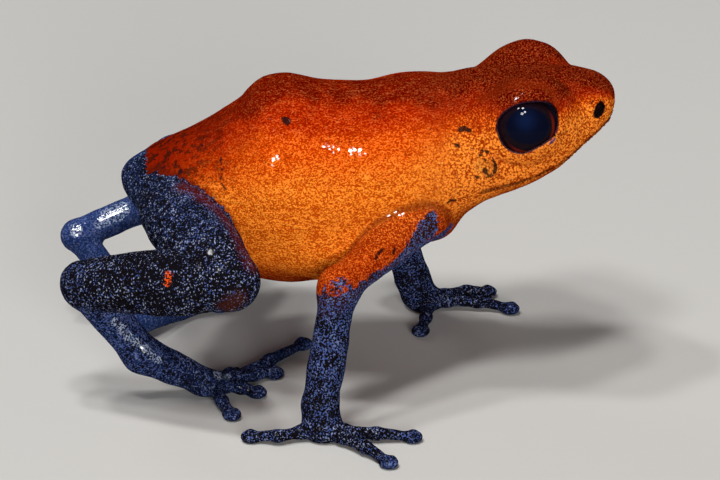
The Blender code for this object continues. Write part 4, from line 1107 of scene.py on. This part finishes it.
def eyeMaterial(side):
    material, tree, shader = newMaterial("eyeRight" if side < 0 else "eyeLeft")
    calculate, times, timesPlus, mix, ease, cloud = boundTo(tree)
    place = millimetres(tree)
    ahead, up, _ = eyeAxes(side)
    centre = mirrored(eyeShape["centre"], side) + shift

    def offset(axis, origin):  # distance along one axis from the eye's centre
        dot = tree.nodes.new("ShaderNodeVectorMath")
        dot.operation = "DOT_PRODUCT"
        put(tree, dot.inputs[0], place)
        dot.inputs[1].default_value = axis
        return calculate("SUBTRACT", dot.outputs["Value"], float(origin))

    forward = offset(ahead, centre @ ahead + eyeLook["pupilShift"])
    above = offset(up, centre @ up - eyeLook["pupilShift"])

    def away(x=0.0, z=0.0, wide=1.0, tall=1.0):  # distance from a spot of the eye, as an oval sees it
        squares = [calculate("POWER", calculate("DIVIDE", calculate("SUBTRACT", value, middle), size), 2)
                   for value, middle, size in ((forward, x, wide), (above, z, tall))]
        return calculate("SQRT", calculate("ADD", *squares))

    reach = away()
    streaks = cloud(place, eyeLook["streaks"], 2, 0.6, 1.5)
    iris = mix(ease(streaks, 0.35, 0.7, 0, 0.5), eyeLook["iris"], eyeLook["pupil"])
    ring = calculate("ABSOLUTE", calculate("SUBTRACT", reach, eyeLook["ringAt"]))
    lower = ease(calculate("SUBTRACT", times(forward, 0.8), above), -0.1, 0.9)
    corner = timesPlus(streaks, 0.1, away(*eyeLook["membraneAt"]))
    colour = iris
    # painted reflection: the glow is a dim bluish sheen laid into the pupil
    for amount, name in ((ease(away(0, 0, *eyeLook["pupilRadii"]), 1.04, 0.92), "pupil"),
                         (ease(away(*eyeLook["paintedGlowAt"]), 0.70, 0.05), "paintedGlow"),
                         (times(ease(ring, 0.09, 0.02), lower), "irisRing"), (ease(reach, 1.22, 1.32), "white"),
                         (ease(corner, 0.32, 0.20), "membrane")):
        colour = mix(amount, colour, eyeLook[name])
    put(tree, shader.inputs["Base Color"], colour)
    setInputs(shader, {"Roughness": 0.3, "Specular IOR Level": 0.0, "Coat Weight": 1.0, "Coat Roughness": 0.012,
                       "Coat IOR": 1.25})
    return material


def buildEye(name, side):  # a ball whose cornea stands a little proud
    ahead, up, out = eyeAxes(side)
    rings, segments = eyeShape["rings"], eyeShape["segments"]
    lean = math.pi * np.arange(1, rings) / rings
    turn = 2 * math.pi * np.arange(segments) / segments
    ways = [out] + [math.cos(a) * out + math.sin(a) * (math.cos(b) * ahead + side * math.sin(b) * up * -1)
                    for a in lean for b in turn] + [-out]
    ways = np.array(ways)
    bulge = eyeShape["cornea"] * np.clip((ways @ out - 0.55) / 0.45, 0, 1) ** 0.7
    reach = eyeShape["radius"] + bulge - eyeShape["cornea"] * 0.3
    points = mirrored(eyeShape["centre"], side) + ways * reach[:, None]
    faces = []
    last = len(points) - 1
    for j in range(segments):
        k = (j + 1) % segments
        faces.append((0, 1 + j, 1 + k))
        faces.append((last, last - segments + k, last - segments + j))
        for i in range(rings - 2):
            a = 1 + i * segments
            faces.append((a + j, a + segments + j, a + segments + k, a + k))
    mesh = bpy.data.meshes.new(name)
    mesh.from_pydata(((points + shift) * mm).tolist(), [], faces)
    work = bmesh.new()
    work.from_mesh(mesh)
    bmesh.ops.recalc_face_normals(work, faces=work.faces)
    work.to_mesh(mesh)
    work.free()
    mesh.shade_smooth()
    mesh.materials.append(eyeMaterial(side))
    return addObject(name, mesh)


# Floor, light and camera
studio = {
    "floorSize": 3.0,
    "floorColour": (0.60, 0.585, 0.555, 1),
    "floorMirrored": (0.10, 0.10, 0.10, 1),
    "world": (0.90, 0.93, 1.0, 1),
    "worldStrength": 0.05,
    # name, compass bearing from the camera's side, elevation, distance, edge, watts, what it lights
    "lamps": (("keyOne", -25, 61, 500, 72, 0.66, "all"), ("keyTwo", -8, 69, 500, 54, 0.52, "all"),
              ("keyThree", -54, 80, 500, 48, 0.50, "all"), ("keyFour", -86, 69, 500, 48, 0.50, "all"),
              ("front", 12, 15, 620, 180, 2.1, "matt"), ("rim", -140, 35, 580, 200, 0.25, "matt"),
              ("glintFlank", 4, 57, 500, 84, 0.9, "skin"), ("glintRear", -24, 34, 500, 120, 1.3, "skin"),
              ("glintShoulder", -3, 23, 500, 120, 1.5, "skin"), ("glintLid", -48, 58, 500, 90, 0.9, "skin"),
              ("glintLeg", 40, 9, 500, 130, 1.3, "skin")),
}

cameraLook = {
    "aim": (10.58, -0.707, 6.334),
    "elevation": 23.0,
    "distance": 210.0,
    "lens": 236.25,
}


def buildStudio():
    gleaming = bpy.data.collections.new("gleaming")
    half = studio["floorSize"] / 2
    mesh = bpy.data.meshes.new("floor")
    mesh.from_pydata([(-half, -half, 0), (half, -half, 0), (half, half, 0), (-half, half, 0)], [], [(0, 1, 2, 3)])
    floor = addObject("floor", mesh)
    material, tree, shader = newMaterial("paleFloor")
    path = tree.nodes.new("ShaderNodeLightPath")  # the floor shows dimly in the wet eye
    floorColour = mixColour(tree, path.outputs["Is Glossy Ray"], studio["floorColour"], studio["floorMirrored"])
    put(tree, shader.inputs["Base Color"], floorColour)
    shader.inputs["Roughness"].default_value = 0.75
    mesh.materials.append(material)
    world = bpy.data.worlds.new("studioWorld")
    world.use_nodes = True
    world.node_tree.nodes["Background"].inputs["Color"].default_value = studio["world"]
    world.node_tree.nodes["Background"].inputs["Strength"].default_value = studio["worldStrength"]
    bpy.context.scene.world = world
    bpy.context.scene.view_settings.view_transform = "Standard"
    aim = (np.array(cameraLook["aim"]) + shift) * mm
    for name, bearing, rise, away, edge, watts, lights in studio["lamps"]:
        light = bpy.data.lights.new(name, "AREA")
        light.shape = "SQUARE"
        light.size = edge * mm
        light.energy = watts
        lamp = addObject(name, light)
        turn, lift = math.radians(bearing), math.radians(rise)
        way = np.array((math.sin(turn) * math.cos(lift), -math.cos(turn) * math.cos(lift), math.sin(lift)))
        lamp.location = aim + way * away * mm
        lamp.rotation_euler = (-Vector(way)).to_track_quat("-Z", "Y").to_euler()
        lamp.visible_glossy = lights != "matt"
        if lights == "skin":  # gleams on the wet skin alone, beside the eyes
            lamp.visible_diffuse = False
            lamp.visible_transmission = False
            lamp.light_linking.receiver_collection = gleaming
    return gleaming


def buildCamera():
    tilt = math.radians(cameraLook["elevation"])
    aim = np.array(cameraLook["aim"]) + shift
    place = aim + cameraLook["distance"] * np.array((0, -math.cos(tilt), math.sin(tilt)))
    lens = bpy.data.cameras.new("camera")
    lens.lens = cameraLook["lens"]
    lens.sensor_width = 36
    lens.clip_start = 0.005
    lens.clip_end = 10
    camera = addObject("camera", lens)
    camera.location = place * mm
    camera.rotation_euler = (math.pi / 2 - tilt, 0, 0)
    bpy.context.scene.camera = camera


eyeBox = np.array(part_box("eye_right")) / mm
shift = eyeBox.mean(axis=0) - mirrored(eyeShape["centre"], -1)
buildCamera()
gleaming = buildStudio()
print("camera, floor and lights stand")

skin = buildSkin()
gleaming.objects.link(skin)
skin.data.materials.append(skinMaterial())
for name, side in (("eyeRight", -1), ("eyeLeft", 1)):
    eye = buildEye(name, side)
    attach(eye, "root")
    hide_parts("eye_right" if side < 0 else "eye_left")
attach(skin, "root")
fleshNodes = [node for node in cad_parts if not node.startswith("eye_")]
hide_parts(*fleshNodes)
print("skin and eyes dressed")
